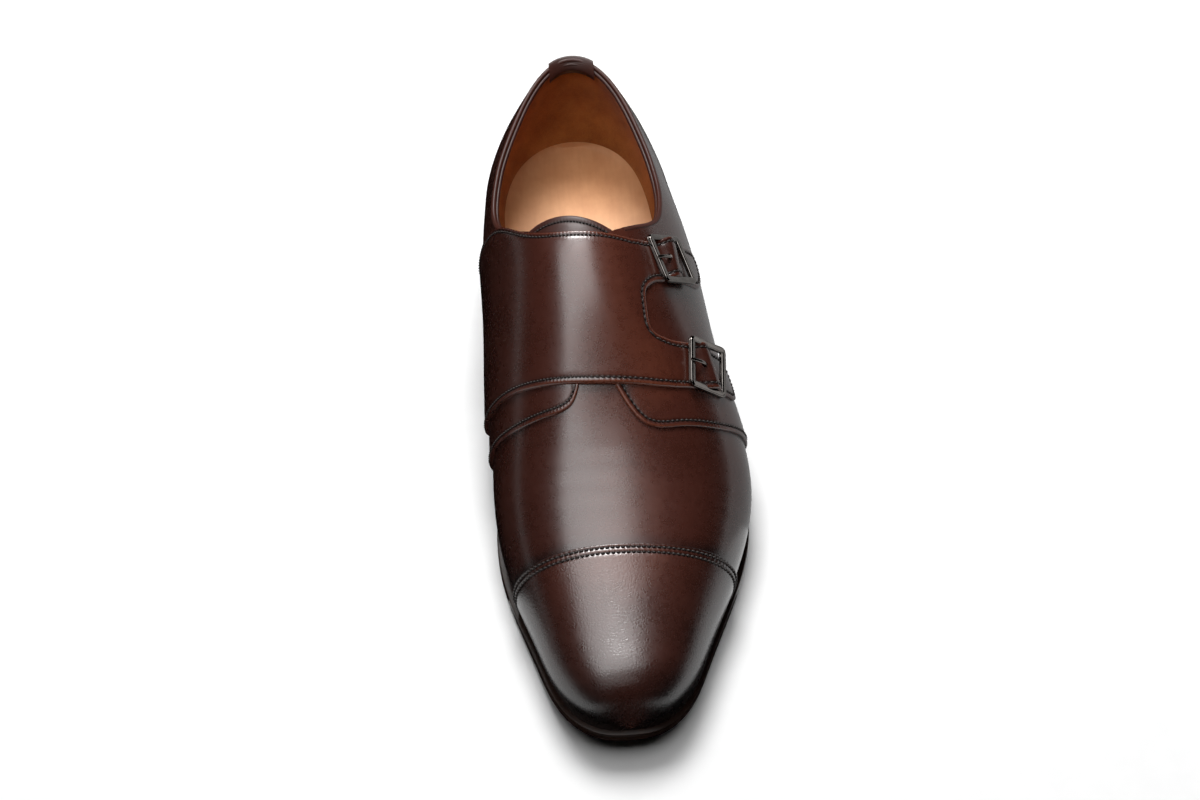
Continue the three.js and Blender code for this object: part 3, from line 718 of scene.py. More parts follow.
def rough_grained(name, scale, detail, roughness, stops, shader_roughness, strength):
    """Rubber or thread: one fine noise gives both its colour and its relief."""
    n = Nodes(name)
    grit = n.noise(scale, detail, roughness)
    return n.principled(Base_Color=n.ramp(grit, stops), Roughness=shader_roughness,
                        Normal=n.bump(grit, strength, 0.0001))


def gunmetal(name):
    n = Nodes(name)
    haze = n.noise(300.0, 3.0, 0.6)
    lines = n.noise(1800.0, 2.0, 0.5, n.stretched((1.0, 0.08, 1.0)))
    color = n.ramp(haze, [(0.3, (0.17, 0.155, 0.145)), (0.7, (0.25, 0.23, 0.215))])
    return n.principled(Base_Color=color, Roughness=n.span(haze, 0.3, 0.7, 0.07, 0.14),
                        Normal=n.bump(lines, 0.08, 0.00003), Metallic=1.0)


BROWN_DYES = ((0.010, 0.0026, 0.0018), (0.055, 0.0125, 0.0068), (0.16, 0.040, 0.017))
CAP_DYES = ((0.006, 0.0022, 0.0018), (0.055, 0.0130, 0.0072), (0.17, 0.043, 0.018))
EDGE_DYES = ((0.008, 0.004, 0.003), (0.030, 0.013, 0.008))
vamp_leather = polished_leather("vamp_leather", BROWN_DYES)
cap_leather = polished_leather("cap_leather", CAP_DYES, grain=800.0, grain_depth=0.00010,
                               grain_strength=0.35)
quarter_leather = polished_leather("quarter_leather", BROWN_DYES)
flap_leather = polished_leather("flap_leather", BROWN_DYES)
tongue_leather = polished_leather("tongue_leather", BROWN_DYES, rough=(0.4, 0.5), coat=0.0, ior=1.5)
edge_leather = polished_leather("edge_leather", BROWN_DYES, rough=(0.42, 0.52), coat=0.0, ior=1.42)
lining_suede = suede("lining_suede", (0.26, 0.082, 0.016), (0.54, 0.205, 0.053))
insole_tan = smooth_leather("insole_leather", (0.60, 0.275, 0.115), (0.80, 0.42, 0.20))
sole_dark = sole_leather("sole_leather", *EDGE_DYES)
heel_dark = sole_leather("heel_leather", *EDGE_DYES, layer=HEEL_LAYER * MM)
lift_rubber = rough_grained("heel_rubber", 1200.0, 3.0, 0.7, [(0.3, (0.010, 0.008, 0.007)),
                                                             (0.7, (0.022, 0.018, 0.016))], 0.7, 0.4)
brown_thread = rough_grained("thread", 2600.0, 2.0, 0.5, [(0.35, (0.006, 0.0035, 0.003)),
                                                          (0.65, (0.022, 0.012, 0.009))], 0.55, 0.5)
buckle_metal = gunmetal("buckle_metal")


# ---- tones: dye burnished dark and rubbed warm, and painted light and shade --------------------
def bump_at(value, centre, width):
    return np.exp(-((value - centre) / width) ** 2)


PLAIN_TONE = 0.19
# lighter along the ridge: partly rubbed dye, partly painted light where the overhead light falls
RIDGE_LIGHT_AND_RUB = 0.43
# places rubbed warm: amount, girth place and its width, station and its width
RUBS = [(0.16, 0.30, 0.16, 160, 16), (0.06, -0.35, 0.2, 150, 30)]
# creases: station at the ridge, how far it slants over one unit of q, depth, width
CREASES = [(199.0, 7.0, 0.16, 3.2), (207.5, 9.0, 0.12, 2.8), (191.0, 5.0, 0.08, 3.4)]
ANKLE_DENT = 0.35


def body_tone(s, q):
    """0 is burnished black, 0.5 the plain brown, 1 the warm brown; the ridge is lighter and the lower
    sides darker, partly dye and partly painted light and shade.
    """
    tone = PLAIN_TONE + RIDGE_LIGHT_AND_RUB * bump_at(q, 0.06, 0.28)
    for amount, girth, girth_width, station, width in RUBS:
        tone = tone + amount * bump_at(q, girth, girth_width) * bump_at(s, station, width)
    # painted shade: the lower sides darker, turned away from the overhead light
    return tone - 0.12 * smooth((np.abs(q) - 0.6) / 0.3)


def cap_tone(s, q):
    """The cap is warmest behind, at its seam, and burnished towards the toe; lighter along its top and
    darker on its sides, partly dye and partly painted light and shade.
    """
    behind = 1 - smooth((s - CAP_SEAM - 2) / 40)
    # painted light and dye: lighter along the cap's top, most behind the seam
    tone = 0.08 + (0.36 + 0.28 * behind) * bump_at(q, 0.0, 0.38)
    return tone - 0.1 * smooth((s - 268) / 20)


# ---- main forms --------------------------------------------------------------------------------
def creases(s, q):
    """Soft troughs and ridges across the vamp over the ball, and a dent below each ankle."""
    relief = np.zeros(np.shape(s))
    reach = smooth((0.78 - np.abs(q)) / 0.3)
    for station, slant, depth, width in CREASES:
        line = station + slant * q
        relief = relief - depth * reach * bump_at(s, line, width)
        relief = relief + 0.5 * depth * reach * bump_at(s, line + 2.1 * width, width)
    for side in SIDES:
        relief = relief - ANKLE_DENT * bump_at(s, 66, 9) * bump_at(q, side * 0.78, 0.09)
    return relief


def girth_grid(stations, reach, columns=46):
    """Corners on both sides of the shoe; reach gives the share of the girth covered."""
    s, q, faces = [], [], []
    t = np.linspace(0, 1, columns)
    for side in (-1, 1):
        q.append(np.array([side * (1 - reach(station, side) * t) for station in stations]).ravel())
        part = grid_faces(len(stations), columns, sum(len(a) for a in s))
        s.append(np.repeat(stations, columns))
        faces += part if side < 0 else [tuple(reversed(f)) for f in part]
    return np.concatenate(s), np.concatenate(q), faces


def collar_reach(station, side):
    if station >= THROAT_END:
        return 1.0
    return float(collar[SIDES[side]](station))


def lining_reach(station, side):
    return collar_reach(station, side) - (0.004 if station < THROAT_END else 0)


def build_vamp():
    stations = np.concatenate([heel_stations(THROAT_END), toe_stations(THROAT_END + 1.5)])
    s, q, faces = girth_grid(stations, collar_reach)
    # painted shade: the vamp darker along the toe cap's edge
    tone = body_tone(s, q) - 0.2 * bump_at(s, CAP_SEAM, 3)
    piece = thick_sheet("vamp", s, q, -1.0, creases(s, q), faces, vamp_leather, tone)
    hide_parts("upper")


def build_lining():
    stations = np.concatenate([heel_stations(THROAT_END), toe_stations(THROAT_END + 1.5, 3.0)])
    s, q, faces = girth_grid(stations, lining_reach, 30)
    thick_sheet("lining", s, q, -WALL, -1.08, faces, lining_suede)


def cap_run(q):
    """Length along the cap's seam, from its medial end."""
    places = np.linspace(-1, 1, 1201)
    return np.interp(q, places, runs_along(last_point(CAP_SEAM, places, 1.0) / MM))


def build_toe_cap():
    stations = np.concatenate([CAP_SEAM + np.array(CAP_RINGS), toe_stations(CAP_SEAM + 5.8, 1.5)])
    s, q, faces = girth_grid(stations, lambda station, side: 1.0, 150)
    distance, run = s - CAP_SEAM, cap_run(q)
    high = CAP_HIGH - edge_roll(distance, 0.45)
    tone = cap_tone(s, q)
    for at in CAP_ROWS:
        high = high + seam_relief(distance, run, at, 0.30)
        # painted shade in the seam's troughs
        tone = tone + seam_painted_shade(distance, run, at)
    # painted shade: a dark line along the cap's own edge
    tone = tone - 0.45 * bump_at(distance, 0.0, 0.35)
    piece = thick_sheet("toe_cap_leather", s, q, 0.03, high, faces, cap_leather, tone)
    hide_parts("toe_cap")


def quarter_outline(side):
    """Front edge of a quarter as (s, girth) from its lower end to its throat end."""
    v = np.linspace(0, QUARTER_TOP[side], 160)
    line = np.stack([quarter_front[side](v), side * (1 - v) * GIRTH_PER_Q], -1)
    end = line[-1]
    hidden = [(end[0] - 6, end[1] + side * 1.5), (140, side * 0.11 * GIRTH_PER_Q)]
    return np.vstack([line, hidden])


def quarter_rim(s, side):
    """The share of the girth that a quarter covers: to the collar, then on to its throat end."""
    reach = collar[SIDES[side]](s)
    flap_corner, blend_length = 104.0, 20.0
    if s < flap_corner:
        return float(reach)
    blend = smooth((s - flap_corner) / blend_length)
    return float((1 - blend) * min(0.86, reach) + blend * QUARTER_TOP[side])


def build_quarter(side):
    name = "quarter_" + SIDES[side]
    edge = QUARTER_GRID - np.array(QUARTER_RINGS)
    shares = np.concatenate([heel_stations(QUARTER_GRID - 10), edge]) / QUARTER_GRID
    t = np.linspace(0, 1, 190)
    rows = [np.maximum(0.0005, share * quarter_front[side](t * QUARTER_TOP[side])) for share in shares]
    s = np.array(rows).ravel()
    rims = np.array([quarter_rim(station, side) for station in s])
    q = side * (1 - np.tile(t, len(shares)) * rims)
    faces = grid_faces(len(shares), len(t))
    if side > 0:
        faces = [tuple(reversed(f)) for f in faces]
    edge_height, edge_tone = sewn_edge(np.stack([s, q * GIRTH_PER_Q], -1), quarter_outline(side),
                                       QUARTER_ROW, 0.6, closed=False)
    high = QUARTER_HIGH + edge_height + 0.5 * creases(s, q)
    piece = thick_sheet(name + "_leather", s, q, 0.02, high, faces, quarter_leather,
                        body_tone(s, q) + edge_tone)
    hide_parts(name)


# ---- flap and straps ---------------------------------------------------------------------------
class Strap:
    """Where one strap lies: distances run down the strap from the buckle's middle bar."""
    HUMP_HEIGHT = 3.4
    HUMP_REACH = 7.8

    def __init__(self, name, start_share, slant, q, tip, turn, tilt):
        self.name, self.slant, self.q, self.tip = name, slant, q, tip
        self.turn, self.tilt = turn, tilt
        self.per_q = math.hypot(GIRTH_PER_Q, slant)
        flap_start = float(flap_edge["back"](STRAP_START))
        flap_length = float(flap_edge["front"](STRAP_START)) - flap_start
        self.middle = flap_start + (start_share * (flap_length - STRAP_WIDTH)) + STRAP_WIDTH / 2

    def centre(self, q):
        return self.middle + self.slant * (q - STRAP_START)

    def along(self, distance):
        return self.q + distance / self.per_q

    def hump(self, q):
        t = np.minimum(1, np.abs(q - self.q) * self.per_q / self.HUMP_REACH)
        return self.HUMP_HEIGHT * np.cos(t * math.pi / 2) ** 2

    def grid_place(self, across, distance):
        q = self.along(np.asarray(distance, float))
        return self.centre(q) + across, q


STRAPS = [Strap("upper", 0.0, -45.0, 0.43, 0.66, 3.0, -5.0),
          Strap("lower", 1.0, -25.0, 0.47, 0.69, -5.0, 6.0)]
# the prong's hole and the spare hole: distance from the middle bar and radius
HOLES = ((-3.0, 1.15), (5.6, 0.75))


def rounded(points, radii, steps=7):
    """A closed polygon with its corners rounded, one radius for each."""
    points = [np.asarray(p, float) for p in points]
    result = []
    for i, (corner, radius) in enumerate(zip(points, radii)):
        before, after = points[i - 1], points[(i + 1) % len(points)]
        if radius <= 0:
            result.append(corner)
            continue
        to_before, to_after = before - corner, after - corner
        reach = min(radius, 0.45 * np.linalg.norm(to_before), 0.45 * np.linalg.norm(to_after))
        a = corner + to_before / np.linalg.norm(to_before) * reach
        b = corner + to_after / np.linalg.norm(to_after) * reach
        for t in np.linspace(0, 1, steps):
            result.append((1 - t) ** 2 * a + 2 * t * (1 - t) * corner + t * t * b)
    return np.array(result)


def flap_outline():
    """The flap with its straps, as (s, girth millimetres)."""
    upper, lower = STRAPS
    half = STRAP_WIDTH / 2
    body_end = 0.24

    def at(strap, across, q):
        return strap.centre(q) + across, q * GIRTH_PER_Q

    def tip(strap):
        places = ((-half, 0.035), (-half * 0.35, 0), (half * 0.35, 0), (half, 0.035))
        return [(at(strap, across, strap.tip - back), 4) for across, back in places]

    def body(edge, start, end):
        return [((float(flap_edge[edge](q)), q * GIRTH_PER_Q), 0) for q in np.linspace(start, end, 40)]

    corners = body("back", -1.0, body_end)
    corners += [(at(upper, -half, STRAP_START + 0.03), 0), *tip(upper),
                (at(upper, half, STRAP_START + 0.06), 2)]
    corners += [((at(upper, half, STRAP_START)[0] + 3.0, (STRAP_START - 0.005) * GIRTH_PER_Q), 9),
                ((at(lower, -half, STRAP_START)[0] - 2.0, (STRAP_START - 0.02) * GIRTH_PER_Q), 9)]
    corners += [(at(lower, -half, STRAP_START + 0.07), 2), *tip(lower),
                (at(lower, half, STRAP_START + 0.03), 0)]
    corners += body("front", body_end, -1.0)
    points, radii = zip(*corners)
    return anticlockwise(even_steps(rounded(points, radii), 0.55, closed=True))


def strap_lift(s, q):
    """How far the leather rises over the buckles' middle bars."""
    lift = np.zeros(np.shape(s))
    for strap in STRAPS:
        near = np.abs(s - strap.centre(q)) < STRAP_WIDTH / 2 + 1.5
        lift = np.where(near & (q > STRAP_START), strap.hump(q), lift)
    return lift


def circle(centre, radius, count=14):
    angle = np.linspace(0, 2 * math.pi, count, endpoint=False)
    return np.stack([centre[0] + radius * np.cos(angle), centre[1] + radius * np.sin(angle)], -1)


def strap_holes():
    holes = []
    for strap in STRAPS:
        for distance, radius in HOLES:
            s, q = strap.grid_place(0.0, distance)
            holes.append(circle((float(s), float(q) * GIRTH_PER_Q), radius))
    return holes


def flap_high(s, q):
    """Growth of the flap's outer face, without its edge and seam; the straps are a little thinner."""
    return FLAP_HIGH - STRAP_THINNER * smooth((q - STRAP_START) / 0.05) + strap_lift(s, q)


def build_flap():
    outline = flap_outline()
    points, faces = filled(outline, 1.3, FLAP_RINGS, strap_holes())
    s, q = points[:, 0], points[:, 1] / GIRTH_PER_Q
    edge_height, edge_tone = sewn_edge(points, outline, FLAP_ROW, 0.75)
    piece = thick_sheet("monk_flap_leather", s, q, FLAP_LOW + strap_lift(s, q),
                        flap_high(s, q) + edge_height, faces, flap_leather,
                        body_tone(s, q) + edge_tone)
    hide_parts("monk_flap")
    return outline


# ---- tongue ------------------------------------------------------------------------------------
def tongue_outline():
    """The tongue's curved rear edge shows above the flap; its front edge is hidden."""
    middle, front = -0.04, 172.0
    rear = [(float(100.5 + 17 * q + 55 * np.abs(q - middle) ** 2.2), q * GIRTH_PER_Q)
            for q in np.linspace(-0.36, 0.29, 60)]
    hidden = [(front, 0.2 * GIRTH_PER_Q), (front, -0.2 * GIRTH_PER_Q)]
    return anticlockwise(even_steps(np.array(rear + hidden), 0.55, closed=True))


def build_tongue():
    outline = tongue_outline()
    points, faces = filled(outline, 1.8, TONGUE_RINGS)
    s, q = points[:, 0], points[:, 1] / GIRTH_PER_Q
    edge_height, edge_tone = sewn_edge(points, outline, TONGUE_ROW, 0.6, 0.2, 0.6)
    piece = thick_sheet("tongue_leather_piece", s, q, TONGUE_LOW, TONGUE_HIGH + edge_height, faces,
                        tongue_leather, 0.34 + edge_tone)
    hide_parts("tongue")
    return outline


# ---- sweeps ------------------------------------------------------------------------------------
def sweep(name, path, normals, profile, material, slot, closed=False, tone=0.5, tapers=None):
    """A closed profile of (out, side) millimetres carried along a path; out is along the normals."""
    path, normals = np.asarray(path, float), np.asarray(normals, float)
    if closed:
        tangent = np.roll(path, -1, axis=0) - np.roll(path, 1, axis=0)
    else:
        tangent = np.gradient(path, axis=0)
    tangent = unit(tangent)
    out = unit(normals - (normals * tangent).sum(1, keepdims=True) * tangent)
    side = np.cross(tangent, out)
    profile = np.asarray(profile, float) * MM
    tapers = np.ones(len(path)) if tapers is None else np.asarray(tapers, float)
    rings = (path[:, None] + tapers[:, None, None] * (
        profile[None, :, :1] * out[:, None] + profile[None, :, 1:] * side[:, None]))
    count, around = len(path), len(profile)
    faces = []
    for i in range(count if closed else count - 1):
        a, b = i * around, ((i + 1) % count) * around
        faces += [(a + j, b + j, b + (j + 1) % around, a + (j + 1) % around) for j in range(around)]
    points = rings.reshape(-1, 3)
    if not closed:
        faces += [tuple(range(around)), tuple((count - 1) * around + j for j in reversed(range(around)))]
    piece = shoe_piece(name, points, faces, material)
    set_tone(piece, np.full(len(points), tone))
    set_sharp(piece, 60)
    return piece


def oval(width, height, count=20, power=2.0):
    """A rounded profile; a higher power is squarer."""
    angle = np.linspace(0, 2 * math.pi, count, endpoint=False)
    c, s = np.cos(angle), np.sin(angle)
    return np.stack([np.sign(c) * np.abs(c) ** (2 / power) * width / 2,
                     np.sign(s) * np.abs(s) ** (2 / power) * height / 2], -1)


def collar_path(start_lateral=107.0, end_medial=89.0):
    """The collar's rim from the lateral flap corner round the heel to the medial one, with normals."""
    lateral, medial = heel_stations(start_lateral), heel_stations(end_medial)
    s = np.concatenate([lateral[::-1], medial[1:]])
    side = np.concatenate([np.ones(len(lateral)), -np.ones(len(medial) - 1)])
    q = np.array([d * (1 - collar_reach(x, d)) for x, d in zip(s, side)])
    path = last_point(s, q, COLLAR_EDGE_GROW)
    return path, path - last_point(s, q, COLLAR_EDGE_GROW - 2)


def build_collar_edge():
    """The turned edge of the quarters and, inside it, the lining's bound edge."""
    source, normals = collar_path()
    path = even_steps(source, 1.6 * MM)
    pick = [int(np.argmin(np.linalg.norm(source - p, axis=1))) for p in path]
    outward = smooth_rows(normals[pick])
    sweep("collar_edge", path, outward, oval(1.9, 2.3, 18, 2.6), edge_leather, "quarter_leather",
          tone=0.42)
    path = path - unit(outward) * 1.75 * MM
    path[:, 2] -= 0.25 * MM
    sweep("collar_binding", path, outward, oval(1.7, 2.2, 18, 2.6), edge_leather, "quarter_leather",
          tone=0.3)


def smooth_rows(rows, passes=6):
    rows = np.asarray(rows, float)
    for _ in range(passes):
        rows[1:-1] = (rows[:-2] + 2 * rows[1:-1] + rows[2:]) / 4
    return rows


TAB_HALF = 9.6
TAB_THICKNESS = 0.95
TAB_RISE = 0.4
TAB_LOW_END = 0.36


def build_back_tab():
    """A strip over the heel's back seam that turns over the collar."""
    half = TAB_HALF
    across = np.linspace(-1, 1, 25)
    rim = collar_reach(0, 1)
    path = [(TAB_LOW_END + (rim - TAB_LOW_END) * t, 1.5, 0.0) for t in np.linspace(0, 1, 16)]
    for angle in np.linspace(0, math.pi, 12)[1:-1]:
        path.append((rim, -0.75 + 2.25 * math.cos(angle), TAB_RISE * math.sin(angle)))
    path += [(rim - (rim - 0.46) * t, -3.0, 0.0) for t in np.linspace(0, 0.2, 3)]
    layers = []
    for offset in (0.0, TAB_THICKNESS):
        rows = []
        for v, grow, rise in path:
            outside = grow > -0.75
            g = grow + offset * (1 if outside else -1) * (1.0 if rise == 0 else abs(grow + 0.75) / 2.25)
            lift = rise + 0.7 * offset * min(1.0, rise / TAB_RISE)
            width = half - 1.2 * smooth((rim - v) / 0.12) * (rise == 0)
            x_target = across * width
            s = station_at_width(np.abs(x_target), v, g)
            side = np.where(across < 0, -1.0, 1.0)
            point = last_point(s, side * (1 - v), np.full(len(s), g))
            point[:, 0] = AXIS_X + x_target * MM
            point[:, 2] += lift * MM
            rows.append(point)
        layers.append(np.array(rows))
    rows, columns = layers[0].shape[:2]
    points = np.concatenate([layer.reshape(-1, 3) for layer in layers])
    piece = shoe_piece("back_tab_leather", points, slab_faces(rows, columns), edge_leather)
    set_tone(piece, np.full(len(points), 0.3))
    set_sharp(piece, 50)
    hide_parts("back_tab")


def station_at_width(width, v, grow):
    """The station near the heel's back where the form is this wide."""
    stations = 50.0 * (1 - np.cos(np.radians(np.linspace(0, 60, 120))))
    x = np.abs(last_point(stations, np.full(120, 1 - v), np.full(120, grow))[:, 0] - AXIS_X) / MM
    return np.interp(width, x, stations)


# ---- stitches ----------------------------------------------------------------------------------
def stitch_row(starts, ends, normals, width=0.95, rise=0.3):
    """Bodies of single stitches between pairs of places: lists of points and faces."""
    points, faces = [], []
    around, rings = 8, 6
    for head, tail, normal in zip(starts, ends, normals):
        ahead = tail - head
        side = unit(np.cross(ahead, normal))
        up = np.cross(side, unit(ahead))
        up *= np.sign(up @ normal)
        start = len(points)
        for k in range(rings + 1):
            t = k / rings
            arch = math.sin(math.pi * t)
            size = max(0.15, arch) ** 0.45
            middle = head + ahead * t + up * (arch - 0.55) * rise * MM
            for j in range(around):
                angle = 2 * math.pi * j / around
                points.append(middle + (side * math.cos(angle) + up * math.sin(angle) * 0.75)
                              * width / 2 * size * MM)
        for k in range(rings):
            for j in range(around):
                a, b = start + k * around + j, start + k * around + (j + 1) % around
                faces.append((a, b, b + around, a + around))
        faces.append(tuple(start + j for j in reversed(range(around))))
        faces.append(tuple(start + rings * around + j for j in range(around)))
    return points, faces


def stitch_ends(middles, runs, s, q, grow):
    """Both ends and the normal of the stitches whose middles lie at these runs of a line."""
    def at(where):
        return np.interp(where, runs, s), np.interp(where, runs, q)

    def grown(place):
        return grow(*place) if callable(grow) else grow

    starts, ends = (last_point(*place, grown(place))
                    for place in (at(middles + part * STITCH_PITCH) for part in STITCH_ENDS))
    middle = at(middles)
    return middle, (starts, ends, last_normal(*middle, grown(middle)))


def stitch_middles(length):
    return (np.arange(int(length / STITCH_PITCH)) + 0.5) * STITCH_PITCH


def stitch_places(outline, at, grow, closed=True, inward=1.0, keep=None):
    """Even places beside an outline of (s, girth millimetres), where its seam's stitches lie."""
    outline = np.asarray(outline, float)
    if closed:
        line = inset(outline, at)
        outline, line = np.vstack([outline, outline[:1]]), np.vstack([line, line[:1]])
    else:
        step = unit(np.gradient(outline, axis=0))
        line = outline + inward * at * np.stack([-step[:, 1], step[:, 0]], -1)
    run = runs_along(outline)
    place, stitches = stitch_ends(stitch_middles(run[-1]), run, line[:, 0], line[:, 1] / GIRTH_PER_Q, grow)
    wanted = slice(None) if keep is None else keep(*place)
    return [part[wanted] for part in stitches]


def build_stitches(name, rows, width=0.78):
    """One piece from rows of stitches, each as (starts, ends, normals)."""
    points, faces = [], []
    for starts, ends, normals in rows:
        more, shells = stitch_row(starts, ends, normals, width)
        start = len(points)
        points += more
        faces += [tuple(start + i for i in f) for f in shells]
    shoe_piece(name, np.array(points), faces, brown_thread)


# ---- sole, heel, insole ------------------------------------------------------------------------
def ring_plate(name, loops, material):
    """Stacks closed loops with the same count of points and caps the first and last with strips."""
    count = len(loops[0])
    faces = []
    for k in range(len(loops) - 1):
        a, b = k * count, (k + 1) * count
        faces += [(a + j, a + (j + 1) % count, b + (j + 1) % count, b + j) for j in range(count)]
    for start in (0, (len(loops) - 1) * count):
        strips = [distinct((start + j, start + j + 1, start + (count - 1 - j) % count,
                            start + (count - j) % count)) for j in range(count // 2)]
        faces += [face for face in strips if len(face) > 2]
    piece = shoe_piece(name, np.concatenate(loops), faces, material, weld=True, dissolve=True)
    set_sharp(piece, 35)
    return piece


def sole_stations():
    heel = -SOLE_HEEL + 34 * (1 - np.cos(np.radians(np.linspace(0, 90, 34))))
    toe_length = 42.0
    tip = LAST_LENGTH + SOLE_TOE
    straight = np.arange(heel[-1] + 2.4, tip - toe_length, 2.4)
    toe = tip - toe_length * (1 - np.linspace(0, 1, 40)) ** 2
    return np.concatenate([heel, straight, toe])


def sole_loop(stations, shrink, height):
    """One closed loop of the sole's outline: lateral heel to toe, then medial back to the heel."""
    outline = np.concatenate([
        np.stack([sole_half_width(stations, 1), stations], -1),
        np.stack([sole_half_width(stations[-2:0:-1], -1), stations[-2:0:-1]], -1),
    ])
    tangent = unit(np.roll(outline, -1, axis=0) - np.roll(outline, 1, axis=0))
    moved = outline - shrink * np.stack([tangent[:, 1], -tangent[:, 0]], -1)
    moved[0, 0] = 0
    z = sole_underside(outline[:, 1]) + height
    return placed(moved[:, 0], moved[:, 1], z)


# how the sole's side is shaped: how far it lies inside the outline, and the height
SOLE_LEVELS = [(0.5, 0.0), (0.14, 0.1), (0.0, 0.42), (0.0, 0.9), (0.16, 1.02), (0.16, 1.14),
               (0.0, 1.26), (-0.02, 2.4), (0.0, 3.3), (0.2, 3.42), (0.2, 3.56), (0.02, 3.7), (0.0, 4.1),
               (0.12, 4.4), (0.45, 4.5), (4.5, 4.55)]


def build_outsole():
    stations = sole_stations()
    loops = [sole_loop(stations, shrink, height) for shrink, height in SOLE_LEVELS]
    piece = ring_plate("outsole_leather", loops, sole_dark)
    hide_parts("outsole")


def heel_loop(height, shrink=0.0):
    """The heel's outline at a height, from the lateral back over the breast to the medial back."""
    drop = 1 - height / SEAT_HEIGHT
    back = -SOLE_HEEL + HEEL_PITCH * drop
    breast = HEEL_BREAST - HEEL_PITCH * drop
    share = np.concatenate([0.46 * (1 - np.cos(np.radians(np.linspace(0, 90, 30)))),
                            np.linspace(0.48, 1, 14)])
    top = -SOLE_HEEL + (HEEL_BREAST + SOLE_HEEL) * share
    s = back + (breast - back) * share
    loop = []
    for side in (1, -1):
        width = np.abs(sole_half_width(top, side))
        x = side * np.maximum(0, width - (HEEL_TAPER * drop + shrink) * np.minimum(1, width / 10))
        order = slice(None) if side > 0 else slice(None, None, -1)
        z = np.full(len(s), height)
        loop.append((x[order], s[order] + shrink * np.where(share[order] < 0.02, 1, 0), z))
    x = np.concatenate([part[0] for part in loop])
    z = np.concatenate([part[2] for part in loop])
    s = np.concatenate([part[1] for part in loop])
    front = share > 0.999
    bow = np.concatenate([front, front[::-1]])
    s = s - shrink * bow
    return x, s, z


def heel_piece(name, levels, material, under_sole=False):
    """A layer of the heel from (height, how far inside) levels, if wanted cut off under the sole."""
    loops = []
    for height, shrink in levels:
        x, s, z = heel_loop(height, shrink)
        if under_sole:
            z = np.minimum(z, sole_underside(s) - 0.02)
        loops.append(placed(x, s, z))
    return ring_plate(name, loops, material)


def build_heel():
    low, high = LIFT_THICKNESS, SEAT_HEIGHT
    levels = [(low + 0.1, 0.25), (low + 0.25, 0.02)]
    for seam in (low + HEEL_LAYER, low + 2 * HEEL_LAYER):
        levels += [(seam - 0.16, 0.0), (seam - 0.05, 0.14), (seam + 0.05, 0.14), (seam + 0.16, 0.0)]
    levels += [(high - 0.4, 0.0), (high, 0.2)]
    piece = heel_piece("heel_stack_leather", levels, heel_dark, under_sole=True)
    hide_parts("heel_stack")
    levels = [(0.0, 0.6), (0.12, 0.2), (0.45, 0.0), (low - 0.4, 0.0), (low - 0.05, 0.2)]
    piece = heel_piece("heel_lift_rubber", levels, lift_rubber)
    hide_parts("top_lift")


def build_insole():
    """The sock over the insole: a little cupped, its edge against the lining."""
    stations = np.concatenate([heel_stations(THROAT_END, 4.0), toe_stations(THROAT_END + 2, 3.0)[:-1]])
    across = np.linspace(-1, 1, 33)
    grow = -WALL - 0.05
    layers = []
    for level in (0, 1):
        for s in stations:
            rise = level * (INSOLE_THICKNESS + 1.2 + 1.3 * float(smooth((140 - s) / 50)))
            v = LOWER_WALL * rise / float(last["widest"](s))
            lateral = last_point(s, 1.0 - v, grow)
            medial = last_point(s, v - 1.0, grow)
            points = medial + (lateral - medial) * ((across + 1) / 2)[:, None]
            dish = (rise - level * INSOLE_THICKNESS) * (1 - np.abs(across) ** 3.5)
            points[:, 2] += (0.05 - dish) * MM
            layers.append(points)
    piece = shoe_piece("insole_sock", np.concatenate(layers), slab_faces(len(stations), len(across)),
                       insole_tan, weld=True)
    set_sharp(piece, 50)
    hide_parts("insole")


# ---- buckles -----------------------------------------------------------------------------------


def rounded_rectangle(width, length, radius, steps=8):
    points = []
    for sx, sy, start in ((1, 1, 0), (-1, 1, 90), (-1, -1, 180), (1, -1, 270)):
        cx, cy = sx * (width / 2 - radius), sy * (length / 2 - radius)
        for t in np.linspace(0, 90, steps):
            angle = math.radians(start + t)
            points.append((cx + radius * math.cos(angle), cy + radius * math.sin(angle)))
    return even_steps(np.array(points), 0.7, closed=True)


def buckle_plane(strap):
    """The rigid buckle's place: its middle and its axes across, along and away from the strap."""
    s, q = strap.grid_place(0.0, 0.0)
    step = 0.01
    middle = last_point(s, q, BUCKLE_GROW)
    along = unit(last_point(strap.centre(q + step), q + step, BUCKLE_GROW) - middle)
    across = last_point(s + 1, q, BUCKLE_GROW) - last_point(s - 1, q, BUCKLE_GROW)
    out = unit(np.cross(across, along))
    across = np.cross(along, out)
    turn, tilt = math.radians(strap.turn), math.radians(strap.tilt)
    across, along = (across * math.cos(turn) + along * math.sin(turn),
                     along * math.cos(turn) - across * math.sin(turn))
    across, out = (across * math.cos(tilt) - out * math.sin(tilt),
                   out * math.cos(tilt) + across * math.sin(tilt))
    return middle, across, along, out


def buckle_line(strap, places):
    """Places of (across, along, height) millimetres on a buckle, in the frame, with normals."""
    places = np.asarray(places, float)
    middle, across, along, out = buckle_plane(strap)
    line = middle + (places[:, :1] * across + places[:, 1:2] * along + places[:, 2:] * out) * MM
    return line, np.tile(out, (len(places), 1))


# the prong's side view: distance along it and height over the frame's middle
PRONG = [(-11.3, 1.2), (-9.8, 1.75), (-7.5, 2.05), (-4.6, 2.0), (-3.0, 1.35), (-1.6, 0.6), (0.0, 0.2)]


